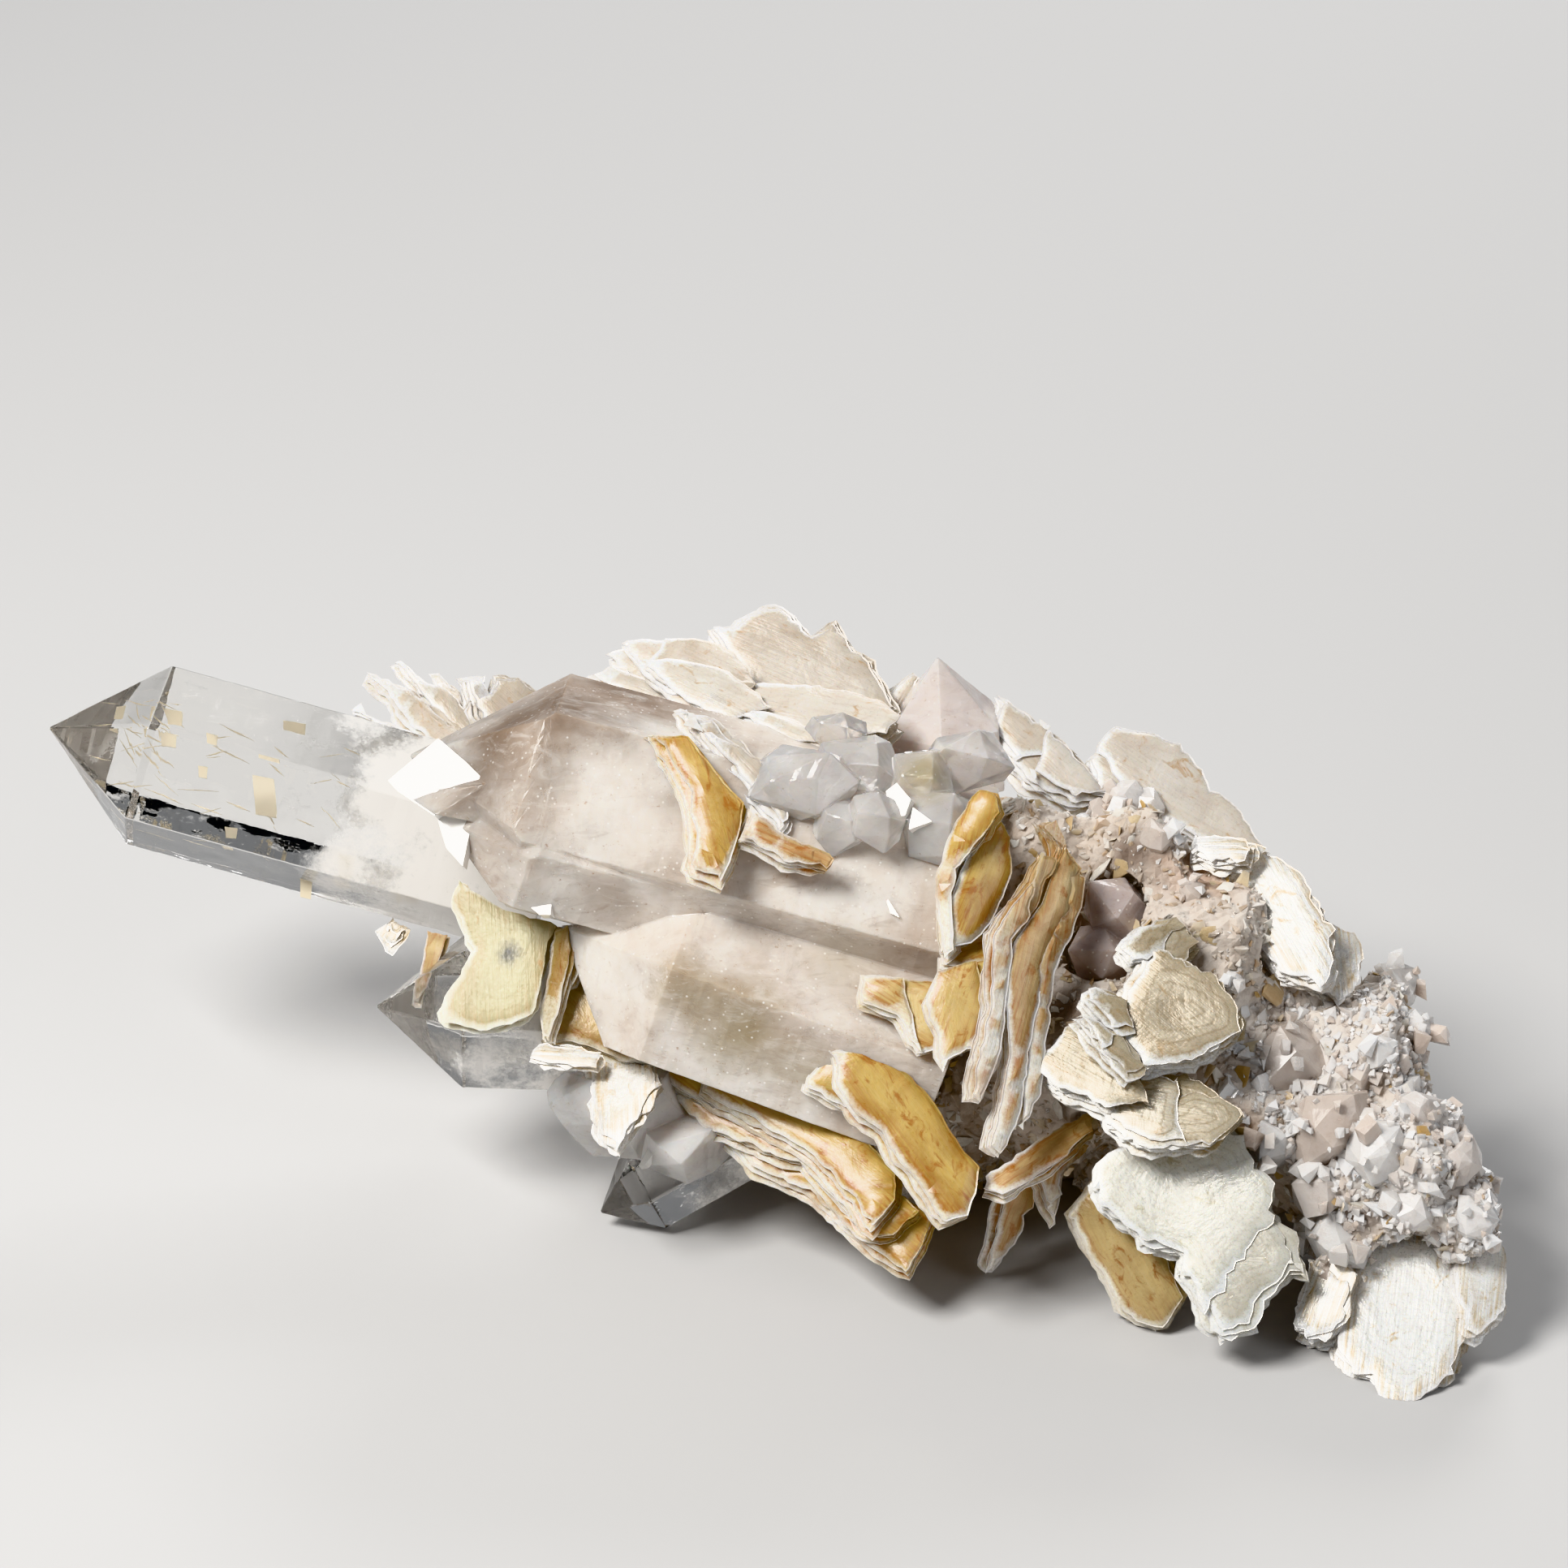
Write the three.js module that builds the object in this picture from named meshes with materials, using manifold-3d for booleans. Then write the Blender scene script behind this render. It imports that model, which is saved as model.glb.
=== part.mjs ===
// Quartz cluster on muscovite: a cabinet specimen of clear and milky quartz crystals with books of
// golden and silvery mica, grown together on a lumpy crust of granular quartz.
// Millimetres, +Z up. The long way of the specimen runs along X and its showing side looks along -Y.
import * as THREE from 'three';
import { ConvexGeometry } from 'three/addons/geometries/ConvexGeometry.js';
import { mergeVertices } from 'three/addons/utils/BufferGeometryUtils.js';
import Module from 'manifold-3d';

const wasm = await Module();
wasm.setup();

// Shapes are laid out on a front sheet: mm across from its left edge, mm down from its top edge, and
// mm away behind it. The sheet leans back, so that its lower edge comes towards the viewer, and what
// lies behind it is spread a little, as the eye sees it from the viewing distance.
const leanBack = THREE.MathUtils.degToRad(30);
const sheetSide = 193.2;
const viewingDistance = 805;

// The surface that the cluster rests on, measured below the middle of the sheet.
const restBelowMiddle = 51.6;

// Clearance left between pieces that touch. A cut stone's clearance is got by scaling it up.
const touchGap = 0.3;
const stoneClearance = 1.08;

// Quartz: the slope of a point's faces from the length of the crystal.
const pointSlope = THREE.MathUtils.degToRad(38.2);

// Lumps: corners wind round by the golden angle, each turned a little further by chance and standing
// between lumpNear and lumpNear + lumpSpan of the full reach from the middle.
const goldenAngle = Math.PI * (3 - Math.sqrt(5));
const lumpTwist = 0.7;
const lumpNear = 0.84;
const lumpSpan = 0.24;
const lumpCorners = 16;
const crustCorners = 19;

// Mica: how far every second leaf of a book lies back, how deep a leaf sinks into the one before it,
// and the least share by which a sharp corner of an outline is drawn out when its sides move.
const leafSetBack = 0.6;
const leafOverlap = 0.05;
const sharpestCorner = 0.55;

// How exactly a corner must lie on its planes, and how far either way of the sheet is looked.
const slack = 1e-5;
const sightReach = 60;

// The block of ground under the cluster, wide enough to pass under all of it.
const groundSide = 400;
const groundDeep = 100;

const leanSin = Math.sin(leanBack);
const leanCos = Math.cos(leanBack);

// A direction on the sheet: to the right, up the sheet and out towards the viewer.
function heading(right, up, toward) {
  return new THREE.Vector3(right, up * leanSin - toward * leanCos, up * leanCos + toward * leanSin);
}

function seen(across, down, away) {
  const spread = 1 + away / viewingDistance;
  const right = (across - sheetSide / 2) * spread;
  const up = (sheetSide / 2 - down) * spread;
  return heading(right, up, -away);
}

// The point where the line of sight through a place on the sheet meets a plane.
function seenOnPlane(across, down, plane) {
  const near = seen(across, down, -sightReach);
  const far = seen(across, down, sightReach);
  return plane.intersectLine(new THREE.Line3(near, far), new THREE.Vector3());
}

// A repeatable row of numbers between 0 and 1.
function numberRow(seed) {
  let state = seed * 7919 + 17;
  return () => {
    state = (state * 16807) % 2147483647;
    return (state % 100000) / 100000;
  };
}

function solidOf(geometry) {
  geometry.deleteAttribute('normal');
  geometry.deleteAttribute('uv');
  const merged = mergeVertices(geometry, 1e-4);
  return new wasm.Manifold(new wasm.Mesh({
    numProp: 3,
    vertProperties: new Float32Array(merged.attributes.position.array),
    triVerts: new Uint32Array(merged.index.array),
  }));
}

function joined(solids) {
  return solids.reduce((whole, solid) => whole.add(solid));
}

function hullOf(points) {
  return solidOf(new ConvexGeometry(points));
}

// Flat-faced body bounded by planes: every corner is a meeting of three planes that lies inside all.
function bodyInside(planes) {
  const corners = [];
  for (let i = 0; i < planes.length; i += 1) {
    for (let j = i + 1; j < planes.length; j += 1) {
      for (let k = j + 1; k < planes.length; k += 1) {
        const corner = meetingOf(planes[i], planes[j], planes[k]);
        if (corner && planes.every((plane) => plane.distanceToPoint(corner) < slack)) {
          corners.push(corner);
        }
      }
    }
  }
  return hullOf(corners);
}

function meetingOf(a, b, c) {
  const along = new THREE.Vector3().crossVectors(b.normal, c.normal);
  const size = a.normal.dot(along);
  if (Math.abs(size) < 1e-6) {
    return null;
  }
  const point = along.multiplyScalar(-a.constant);
  point.addScaledVector(new THREE.Vector3().crossVectors(c.normal, a.normal), -b.constant);
  point.addScaledVector(new THREE.Vector3().crossVectors(a.normal, b.normal), -c.constant);
  return point.divideScalar(size);
}

// Six-sided quartz crystal with a six-faced point. reach is the distance from the axis to every side,
// or a list for each side, starting at the side that looks at the viewer and turning down. drop
// lowers single faces of the point and slopes gives them a slope each.
function crystal(shape, grow) {
  const tip = seen(...shape.tip);
  const axis = heading(...shape.toTip).normalize();
  const front = heading(0, 0, 1).applyAxisAngle(axis, THREE.MathUtils.degToRad(shape.turn ?? 0));
  front.addScaledVector(axis, -front.dot(axis)).normalize();
  const planes = [];
  for (let side = 0; side < 6; side += 1) {
    const reach = Array.isArray(shape.reach) ? shape.reach[side] : shape.reach;
    const drop = shape.drop ? shape.drop[side] : 0;
    const slopeAngle = shape.slopes ? THREE.MathUtils.degToRad(shape.slopes[side]) : pointSlope;
    const out = front.clone().applyAxisAngle(axis, side * Math.PI / 3);
    const wall = tip.clone().addScaledVector(out, reach + grow);
    planes.push(new THREE.Plane().setFromNormalAndCoplanarPoint(out, wall));
    const slope = out.clone().multiplyScalar(Math.cos(slopeAngle));
    slope.addScaledVector(axis, Math.sin(slopeAngle));
    const face = tip.clone().addScaledVector(slope, grow - drop);
    planes.push(new THREE.Plane().setFromNormalAndCoplanarPoint(slope, face));
  }
  const root = tip.clone().addScaledVector(axis, -shape.length - grow);
  planes.push(new THREE.Plane().setFromNormalAndCoplanarPoint(axis.clone().negate(), root));
  return bodyInside(planes);
}

// Irregular lump with flat facets, its corners scattered on a stretched ball.
function lump(shape, grow) {
  const next = numberRow(shape.seed);
  const [right, up, deep] = shape.reach;
  const points = [];
  const count = shape.corners ?? lumpCorners;
  for (let i = 0; i < count; i += 1) {
    const level = 1 - 2 * (i + 0.5) / count;
    const around = i * goldenAngle + next() * lumpTwist;
    const ring = Math.sqrt(1 - level * level);
    const far = lumpNear + next() * lumpSpan;
    const point = seen(...shape.at);
    point.add(heading(
      Math.cos(around) * ring * far * (right + grow),
      Math.sin(around) * ring * far * (up + grow),
      level * far * (deep + grow),
    ));
    points.push(point);
  }
  return hullOf(points);
}

// Body whose corners were measured one by one, each as across, down and away.
function cutStone(shape, grow) {
  const points = [];
  for (let i = 0; i < shape.corners.length; i += 3) {
    points.push(seen(shape.corners[i], shape.corners[i + 1], shape.corners[i + 2]));
  }
  if (grow > 0) {
    const middle = new THREE.Box3().setFromPoints(points).getCenter(new THREE.Vector3());
    points.forEach((point) => point.sub(middle).multiplyScalar(stoneClearance).add(middle));
  }
  return hullOf(points);
}

// One mica blade: the outline is seen on the sheet and lies on a plane that faces the given way. The
// plane lies away behind the sheet at the outline's middle, or at the place that from gives. The
// leaves are stacked behind that plane, every second one set back a little at its edge.
function blade(shape, grow) {
  const outline = [];
  for (let i = 0; i < shape.edge.length; i += 2) {
    outline.push([shape.edge[i], shape.edge[i + 1]]);
  }
  const middle = outline.reduce((sum, spot) => [sum[0] + spot[0], sum[1] + spot[1]], [0, 0]);
  const [across, down] = shape.from ?? middle.map((total) => total / outline.length);
  const anchor = seen(across, down, shape.away);
  const facing = heading(...shape.facing).normalize();
  const plane = new THREE.Plane().setFromNormalAndCoplanarPoint(facing, anchor);
  const acrossPlane = new THREE.Vector3(1, 0, 0).addScaledVector(facing, -facing.x).normalize();
  const upPlane = new THREE.Vector3().crossVectors(facing, acrossPlane);
  const flat = outline.map(([across, down]) => {
    const spot = seenOnPlane(across, down, plane).sub(anchor);
    return new THREE.Vector2(spot.dot(acrossPlane), spot.dot(upPlane));
  });
  const leaves = shape.leaves ?? 1;
  const leafThick = shape.thick / leaves;
  const step = shape.step ?? leafSetBack;
  const solids = [];
  for (let leaf = 0; leaf < leaves; leaf += 1) {
    const out = grow + (leaf % 2 === 0 ? 0 : -step);
    const geometry = new THREE.ExtrudeGeometry(new THREE.Shape(movedOut(flat, out)), {
      depth: leafThick + 2 * grow + (leaf > 0 ? leafOverlap : 0),
      bevelEnabled: false,
    });
    const base = anchor.clone().addScaledVector(facing, -leafThick * (leaf + 1) - grow);
    geometry.applyMatrix4(new THREE.Matrix4().makeBasis(acrossPlane, upPlane, facing).setPosition(base));
    solids.push(solidOf(geometry));
  }
  return joined(solids);
}

// The same outline with every side moved outwards.
function movedOut(outline, distance) {
  const turnsLeft = THREE.ShapeUtils.area(outline) > 0 ? 1 : -1;
  return outline.map((spot, i) => {
    const before = outline[(i + outline.length - 1) % outline.length];
    const after = outline[(i + 1) % outline.length];
    const incoming = spot.clone().sub(before).normalize();
    const outgoing = after.clone().sub(spot).normalize();
    const side = incoming.add(outgoing).normalize();
    const out = new THREE.Vector2(side.y, -side.x).multiplyScalar(turnsLeft);
    const squeeze = Math.max(sharpestCorner, Math.abs(side.dot(outgoing)));
    return spot.clone().addScaledVector(out, distance / squeeze);
  });
}

const makers = { crystal, lump, cutStone, blade };

// Colours of the stones and of the mica, with how rough each one looks.
const finishes = {
  clearQuartz: { color: 0xdfe3e2, roughness: 0.05 },
  milkyQuartz: { color: 0xcbbfb4, roughness: 0.16 },
  goldenMica: { color: 0xc99f4e, roughness: 0.38 },
  tanMica: { color: 0xcdb08c, roughness: 0.45 },
  silverMica: { color: 0xc7c1b6, roughness: 0.32 },
  crust: { color: 0xb9a595, roughness: 0.7 },
};

// Quartz crystals and quartz stones.
const quartzPieces = {
  long_clear_crystal: {
    finish: 'clearQuartz',
    shapes: [
      { make: 'crystal', tip: [5.9, 89.6, 17], toTip: [-0.964, 0.267, 0], turn: -13, reach: 10.4,
        length: 66 },
    ],
  },
  milky_crystal_group: {
    finish: 'milkyQuartz',
    shapes: [
      {
        make: 'crystal',
        tip: [50.3, 93, -6],
        toTip: [-0.966, 0.259, 0],
        turn: 8,
        reach: [12, 13, 13, 12, 13, 13],
        length: 71,
      },
      {
        make: 'cutStone',
        corners: [
          47.8, 96.2, -8, 54, 91, -7.2, 57.6, 93.6, -11.2, 60, 96.5, -14.4, 53.6, 100.4, -14.4,
          49.2, 97.6, -10.6, 70, 94, -3, 72, 104, -10, 66, 101, 2,
        ],
      },
      {
        make: 'crystal',
        tip: [53.6, 100.2, -12],
        toTip: [-0.962, 0.255, 0.12],
        turn: 20,
        reach: 8,
        drop: [1.6, 0, 0, 0, 0, 1],
        length: 34,
      },
      {
        make: 'crystal',
        tip: [69, 114, -7],
        toTip: [-0.94, 0.342, 0],
        turn: 30,
        reach: [11.5, 13.5, 11, 11, 12, 11.5],
        slopes: [38.2, 25, 30, 38.2, 50, 38.2],
        length: 50,
      },
    ],
  },
  left_crystal: {
    finish: 'clearQuartz',
    shapes: [
      { make: 'crystal', tip: [46.2, 124, 5], toTip: [-0.998, 0.03, 0], turn: 18, reach: 8.8, length: 25 },
    ],
  },
  twin_stubby_crystals: {
    finish: 'clearQuartz',
    shapes: [
      {
        make: 'cutStone',
        corners: [
          69, 131.8, 0, 67.2, 134.5, 0, 67.5, 136.2, -1, 69, 138.5, -1, 71.5, 141, 0, 73, 142.5, 1, 79,
          143, 1,
          86, 139, 0, 84, 130, 2, 73, 133, -6, 76, 139, -6.5, 81, 134, -6, 72, 133, 7, 78, 139, 8, 86,
          132, 9,
        ],
      },
      {
        make: 'cutStone',
        corners: [
          78.7, 143.7, -1, 84.8, 146, -1, 88, 144.5, 0, 90.5, 142, 1, 92, 137, 2, 84, 136, 0, 79.5,
          139.5, -4,
          81.2, 141.2, -6, 84, 143.5, -6.5, 88, 139, -5, 84, 139, 4.5, 88, 141, 4.5,
        ],
      },
    ],
  },
  bottom_crystal: {
    finish: 'clearQuartz',
    shapes: [
      { make: 'crystal', tip: [73.8, 149.5, 6.5], toTip: [-0.875, -0.485, 0], turn: 14, reach: 5,
        length: 26 },
    ],
  },
  summit_crystal: {
    finish: 'milkyQuartz',
    shapes: [
      { make: 'crystal', tip: [115.5, 80.8, 4], toTip: [-0.1, 0.93, 0.35], turn: 24, reach: 7, length: 17 },
    ],
  },
  quartz_knot: {
    finish: 'milkyQuartz',
    shapes: [
      { make: 'lump', at: [98.8, 96.6, -15.5], reach: [8, 5.6, 6], seed: 3, corners: 20 },
      { make: 'lump', at: [106, 95, -13.5], reach: [7, 5, 5], seed: 5 },
      { make: 'lump', at: [103, 89.9, -9.5], reach: [4.6, 2.6, 4], seed: 7, corners: 14 },
      { make: 'lump', at: [108, 101, -20], reach: [4.2, 4, 4], seed: 9 },
      { make: 'lump', at: [103.5, 101.5, -18], reach: [4, 4, 4], seed: 11 },
      { make: 'lump', at: [113.5, 96, -14], reach: [4.5, 4.5, 6], seed: 13 },
      { make: 'lump', at: [119.5, 93.5, -11], reach: [6, 4.4, 6], seed: 15 },
      { make: 'lump', at: [115, 101.5, -15], reach: [6, 6.5, 8], seed: 17 },
    ],
  },
  grey_crystals: {
    finish: 'milkyQuartz',
    shapes: [
      { make: 'crystal', tip: [140, 97.6, -5], toTip: [-0.8, 0.5, 0.3], turn: 5, reach: 3.6, length: 15 },
      { make: 'crystal', tip: [134, 108.5, -13], toTip: [-0.6, 0.6, 0.5], turn: 20, reach: 3.4,
        length: 12 },
      { make: 'crystal', tip: [131.5, 117, -14], toTip: [-0.7, 0.1, 0.7], turn: 40, reach: 3.4,
        length: 12 },
    ],
  },
};

// Mica books and rosettes; the blades of one rosette have grown into each other.
const micaPieces = {
  mica_rosette_left: {
    finish: 'tanMica',
    shapes: [
      { make: 'blade', edge: [42.8, 86.6, 48.6, 88.9, 54, 90.5, 60, 95, 54, 97, 46, 90.5], away: 23,
        facing: [-0.3, 0.5, 0.8], thick: 1.6 },
      { make: 'blade', edge: [44.1, 83.5, 45, 82, 46.5, 82.8, 51, 84.5, 56, 88.5, 61, 94, 55, 95, 48.5,
        88.8, 47, 86.2],
        away: 25, facing: [-0.2, 0.6, 0.75], thick: 1.8 },
      { make: 'blade', edge: [48, 81.3, 49.5, 81, 53, 83.8, 56, 85.2, 61, 90, 60, 95, 54.5, 89, 50, 84],
        away: 27, facing: [0.1, 0.5, 0.85], thick: 1.6 },
      { make: 'blade', edge: [52.8, 83, 53.8, 82.8, 56, 85, 60, 90, 56, 90], away: 29,
        facing: [-0.3, 0.3, 0.9], thick: 1.6 },
      { make: 'blade', edge: [56.6, 83.2, 60, 82.9, 60.3, 84.8, 60.8, 82.9, 64, 83, 67.5, 85.2, 70, 90,
        64, 94, 59, 91],
        away: 27, facing: [0.2, 0.3, 0.9], thick: 2.6, leaves: 2 },
      { make: 'blade', edge: [56, 88, 57.5, 85, 59, 88, 61, 93, 58, 94], away: 25,
        facing: [-0.6, 0.2, 0.75], thick: 1.6 },
      { make: 'lump', at: [61, 93.5, 26], reach: [5, 4, 5], seed: 21, corners: 16 },
    ],
  },
  mica_flake_left: {
    finish: 'silverMica',
    shapes: [
      { make: 'blade', edge: [46.3, 114.6, 47, 116.3, 48, 117.1, 49.5, 115.6, 50.2, 114.4, 48.2, 112.8],
        away: 14.5,
        facing: [-0.2, 0.2, 0.95], thick: 1.2 },
    ],
  },
  mica_blade_left: {
    finish: 'tanMica',
    shapes: [
      { make: 'blade', edge: [52.5, 114.5, 55, 115, 53.2, 121, 51.8, 123.7, 50.7, 123.5, 51.5, 120],
        away: 3.5,
        facing: [-0.4, 0.5, 0.75], thick: 1 },
    ],
  },
  mica_swallowtail: {
    finish: 'goldenMica',
    shapes: [
      { make: 'blade', edge: [56.5, 108.5, 55.2, 110.8, 57, 116, 57.8, 117, 56.5, 120, 54.5, 122.5, 53.8,
        124.5,
        54.5, 126.2, 59, 127.2, 62, 126.5, 64.8, 125.5, 66, 124, 67.5, 116, 68.5, 114, 62, 112, 58.5, 110],
      away: -6.5, facing: [-0.15, 0.25, 0.95], thick: 1.8, leaves: 2, step: 0.4 },
    ],
  },
  mica_golden_plate: {
    finish: 'goldenMica',
    shapes: [
      { make: 'blade', edge: [68.3, 114, 67.5, 120, 65.8, 127, 66.8, 128.5, 72, 129, 76, 131, 80, 131,
        82.5, 127,
        80, 121, 74, 115], away: -5.5, facing: [-0.1, 0.3, 0.95], thick: 2.4, leaves: 3, step: 0.5 },
      { make: 'blade', edge: [67.8, 114.5, 69.8, 113.8, 70.3, 117, 68.8, 124, 67.5, 128.5, 66.3, 128.2,
        65.8, 125,
        67, 119], away: -8, facing: [-0.5, 0.1, 0.85], thick: 1.8 },
      { make: 'blade', edge: [71.2, 116.5, 70, 119, 69, 122.5, 70.5, 121.5, 72.5, 118, 73, 117], away: -7.4,
        facing: [-0.3, 0.1, 0.95], thick: 1.6 },
    ],
  },
  mica_white_plate: {
    finish: 'silverMica',
    shapes: [
      { make: 'blade', edge: [71.2, 129.3, 80, 131, 81.2, 133.5, 78, 138.5, 75.8, 141.8, 74, 140.8, 72.7,
        139.5,
        72.2, 135], away: -8.6, facing: [-0.3, 0.45, 0.85], thick: 2.2, leaves: 2 },
      { make: 'blade', edge: [65.2, 130.2, 66.5, 128.5, 74, 129.5, 73.5, 131.6, 67, 131], away: -8,
        facing: [-0.1, 0.5, 0.85], thick: 1.4 },
    ],
  },
  mica_rosette_top: {
    finish: 'silverMica',
    shapes: [
      { make: 'blade', edge: [74.5, 80.5, 77, 79.8, 80, 81.5, 84, 86, 78, 85], away: 8,
        facing: [-0.2, 0.5, 0.85], thick: 1.6 },
      { make: 'blade', edge: [71.8, 82.8, 75.5, 81.3, 80, 83, 85, 87, 78, 87, 73, 84.5], away: 5.5,
        facing: [-0.1, 0.6, 0.8], thick: 1.8 },
      { make: 'blade', edge: [76.2, 78.5, 80, 78, 87, 78.8, 90.5, 80, 93, 84, 90, 88, 85, 86, 80.5, 84,
        78.5, 81.5],
        away: 3, facing: [-0.1, 0.6, 0.8], thick: 2 },
      { make: 'blade', edge: [78.5, 81, 84, 80.8, 90, 82.5, 95, 87, 90, 89, 85, 87, 81.5, 84.4], away: 0.5,
        facing: [-0.1, 0.6, 0.8], thick: 1.8 },
      { make: 'blade', edge: [86.8, 78, 87, 77, 88.5, 76.5, 90, 76.5, 92, 75.2, 94.5, 74.1, 96.5, 74.2,
        98, 75.2,
        100, 77.8, 102.2, 76.2, 103, 76, 105, 79, 107.5, 81, 110.8, 87, 106, 90, 96, 88, 90, 84], away: 7,
      facing: [0, 0.4, 0.9], thick: 4 },
      { make: 'lump', at: [94, 81.4, 8], reach: [7, 6, 6], seed: 23, corners: 14 },
      { make: 'lump', at: [103, 83, 7], reach: [5, 5.4, 5], seed: 25, corners: 14 },
      { make: 'blade', edge: [105, 79.6, 107, 81, 110.5, 85, 111.2, 88, 108, 88], away: 7,
        facing: [0.5, 0.3, 0.8], thick: 2 },
      { make: 'blade', edge: [109, 85, 111.5, 83, 112.5, 82.6, 113.5, 83.2, 113, 88, 108, 89], away: 9,
        facing: [0, 0.2, 0.95], thick: 2 },
      { make: 'blade', edge: [86.8, 82.3, 90.5, 84.5, 95, 83.8, 100, 84.2, 104, 84.8, 108, 86, 110.8, 88,
        109, 90,
        105, 91, 99, 90.5, 94, 89, 90, 87, 88, 85], away: -1, facing: [-0.1, 0.6, 0.8], thick: 4, leaves: 2,
      step: 1 },
      { make: 'blade', edge: [86, 85.5, 90, 86.5, 95, 87, 101, 89, 104, 92, 97, 92, 90, 88.5], away: -4,
        facing: [-0.1, 0.6, 0.8], thick: 2.4 },
      { make: 'lump', at: [97, 88, 5], reach: [13, 6, 8], seed: 27, corners: 16 },
    ],
  },
  mica_books_upper: {
    finish: 'tanMica',
    shapes: [
      { make: 'blade', edge: [83, 87, 84, 86.6, 88, 88, 92, 91, 95.5, 95, 97, 98, 98, 101, 96, 103, 92,
        98.5,
        90, 96, 88, 94, 85, 90.5], away: -17.6, facing: [0.1, 0.35, 0.9], thick: 3, leaves: 2 },
    ],
  },
  mica_book_golden: {
    finish: 'goldenMica',
    shapes: [
      { make: 'blade', edge: [79.2, 90, 85, 90.2, 88, 94, 92, 98.5, 91.5, 102, 90.5, 106,
        89, 108.8, 85, 107.5, 84.3, 106, 84.8, 104, 84, 97.5, 81.5, 93], away: -22.4,
      facing: [0.1, 0.4, 0.9], thick: 3.4, leaves: 3 },
    ],
  },
  mica_book_lower: {
    finish: 'tanMica',
    shapes: [
      { make: 'blade', edge: [91.8, 101, 92.5, 99, 96, 102, 99, 103.5, 103, 105.5, 102, 107, 96.5, 106.5,
        92.5, 104,
        90.5, 103.5], away: -23.6, facing: [0.1, 0.3, 0.95], thick: 3, leaves: 2 },
    ],
  },
  mica_upright_left: {
    finish: 'goldenMica',
    shapes: [
      { make: 'blade', edge: [120.5, 97.2, 122.2, 97.5, 123, 100, 121, 103, 117.6, 107, 117, 112, 117.5,
        117,
        115.8, 118.6, 115, 115, 114.5, 110.5, 114.7, 108, 115.5, 105, 117, 101.5, 119.5, 98], away: -22.4,
      facing: [-0.3, 0.1, 0.9], thick: 3 },
      { make: 'blade', edge: [123.5, 101, 125, 103, 125, 107.5, 124, 110.5, 122.5, 114, 120, 116.5,
        116.5, 117.5,
        116.2, 112, 118, 107, 120.5, 103.5], away: -20.6, facing: [0.3, 0.1, 0.9], thick: 2.6 },
      { make: 'blade', edge: [115.6, 115, 120, 114.6, 123, 114.8, 122.5, 118.5, 118.5, 119.5, 115.6,
        119], away: -19.5,
        facing: [0, 0.5, 0.85], thick: 2 },
    ],
  },
  mica_upright_books: {
    finish: 'tanMica',
    shapes: [
      { make: 'blade', edge: [128.5, 105, 127, 108.5, 123.5, 113, 122.2, 115, 121.7, 120, 121.8, 124,
        120.5, 129,
        119.3, 135.8, 121, 136, 123.5, 131, 124.5, 124, 125.5, 116, 128.5, 111, 130.5, 106], away: -24.5,
      facing: [0.45, 0.05, 0.9], thick: 1.8 },
      { make: 'blade', edge: [131.5, 104, 128, 112, 125, 116, 124, 119, 123.8, 123, 124.3, 130, 123, 137,
        121.8, 141.5, 123.5, 142.7, 126, 137, 127.6, 126, 129, 118, 132, 112, 133.5, 107], away: -23,
      facing: [0.5, 0.05, 0.87], thick: 2 },
      { make: 'blade', edge: [128.8, 101, 131.5, 103.4, 134.5, 108, 134, 112, 131, 120, 130, 126, 129, 135,
        127.5, 138, 125, 140, 126, 128, 126.6, 119, 130, 112, 130.5, 105], away: -21,
      facing: [0.5, 0.05, 0.87], thick: 3.4 },
    ],
  },
  mica_yellow_plates: {
    finish: 'goldenMica',
    shapes: [
      { make: 'blade', edge: [115.5, 119.5, 119, 118.5, 121.5, 118, 122, 120, 121.5, 125, 120, 129,
        116.8, 130.5,
        116.2, 131.8, 115, 130, 115, 127.5, 114, 125.5, 113.5, 123.5, 114.5, 121.5], away: -24.5,
      facing: [0, 0.2, 0.95], thick: 2.4, leaves: 2 },
      { make: 'blade', edge: [105.8, 119.8, 110, 120, 115, 120.8, 118, 124, 116, 129, 112.8, 129.7,
        111.5, 128.5,
        110, 125.5, 105.5, 123.8, 105.2, 122.5], away: -22.4, facing: [-0.1, 0.2, 0.95], thick: 2.6 },
    ],
  },
  mica_tongue: {
    finish: 'goldenMica',
    shapes: [
      { make: 'blade', edge: [102, 129.3, 106, 128.5, 109.5, 130.3, 112, 132, 115, 135, 118.5, 141, 121,
        143.5,
        120.5, 147, 119.5, 149.8, 116, 151.2, 114.5, 150, 111.5, 145, 109.5, 143, 108, 140, 105, 138,
        102.2, 134],
      away: -21, facing: [0.1, 0.2, 0.97], thick: 3, leaves: 2 },
      { make: 'blade', edge: [98.5, 134, 99, 132.5, 102, 129, 107, 130, 108, 136, 104, 137, 99, 134.5],
        away: -18.4,
        facing: [-0.1, 0.2, 0.97], thick: 2.6 },
    ],
  },
  mica_lower_books: {
    finish: 'goldenMica',
    shapes: [
      { make: 'blade', edge: [79.7, 129.7, 81.8, 126.5, 85, 128.5, 89, 131, 92, 136, 87.5, 137, 83.5,
        135, 81.5, 134,
        80, 132], from: [98, 142], away: -10.6, facing: [-0.2, 0.45, 0.87], thick: 2.6 },
      { make: 'blade', edge: [85.2, 134.5, 86, 130.7, 90, 132, 98, 135, 106, 139, 110.5, 144, 110.5, 147.5,
        109.5, 149, 107, 151.8, 105.5, 151, 104, 148, 100, 143.5, 97.5, 141.5, 93, 139, 87, 136],
        from: [98, 142],
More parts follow.
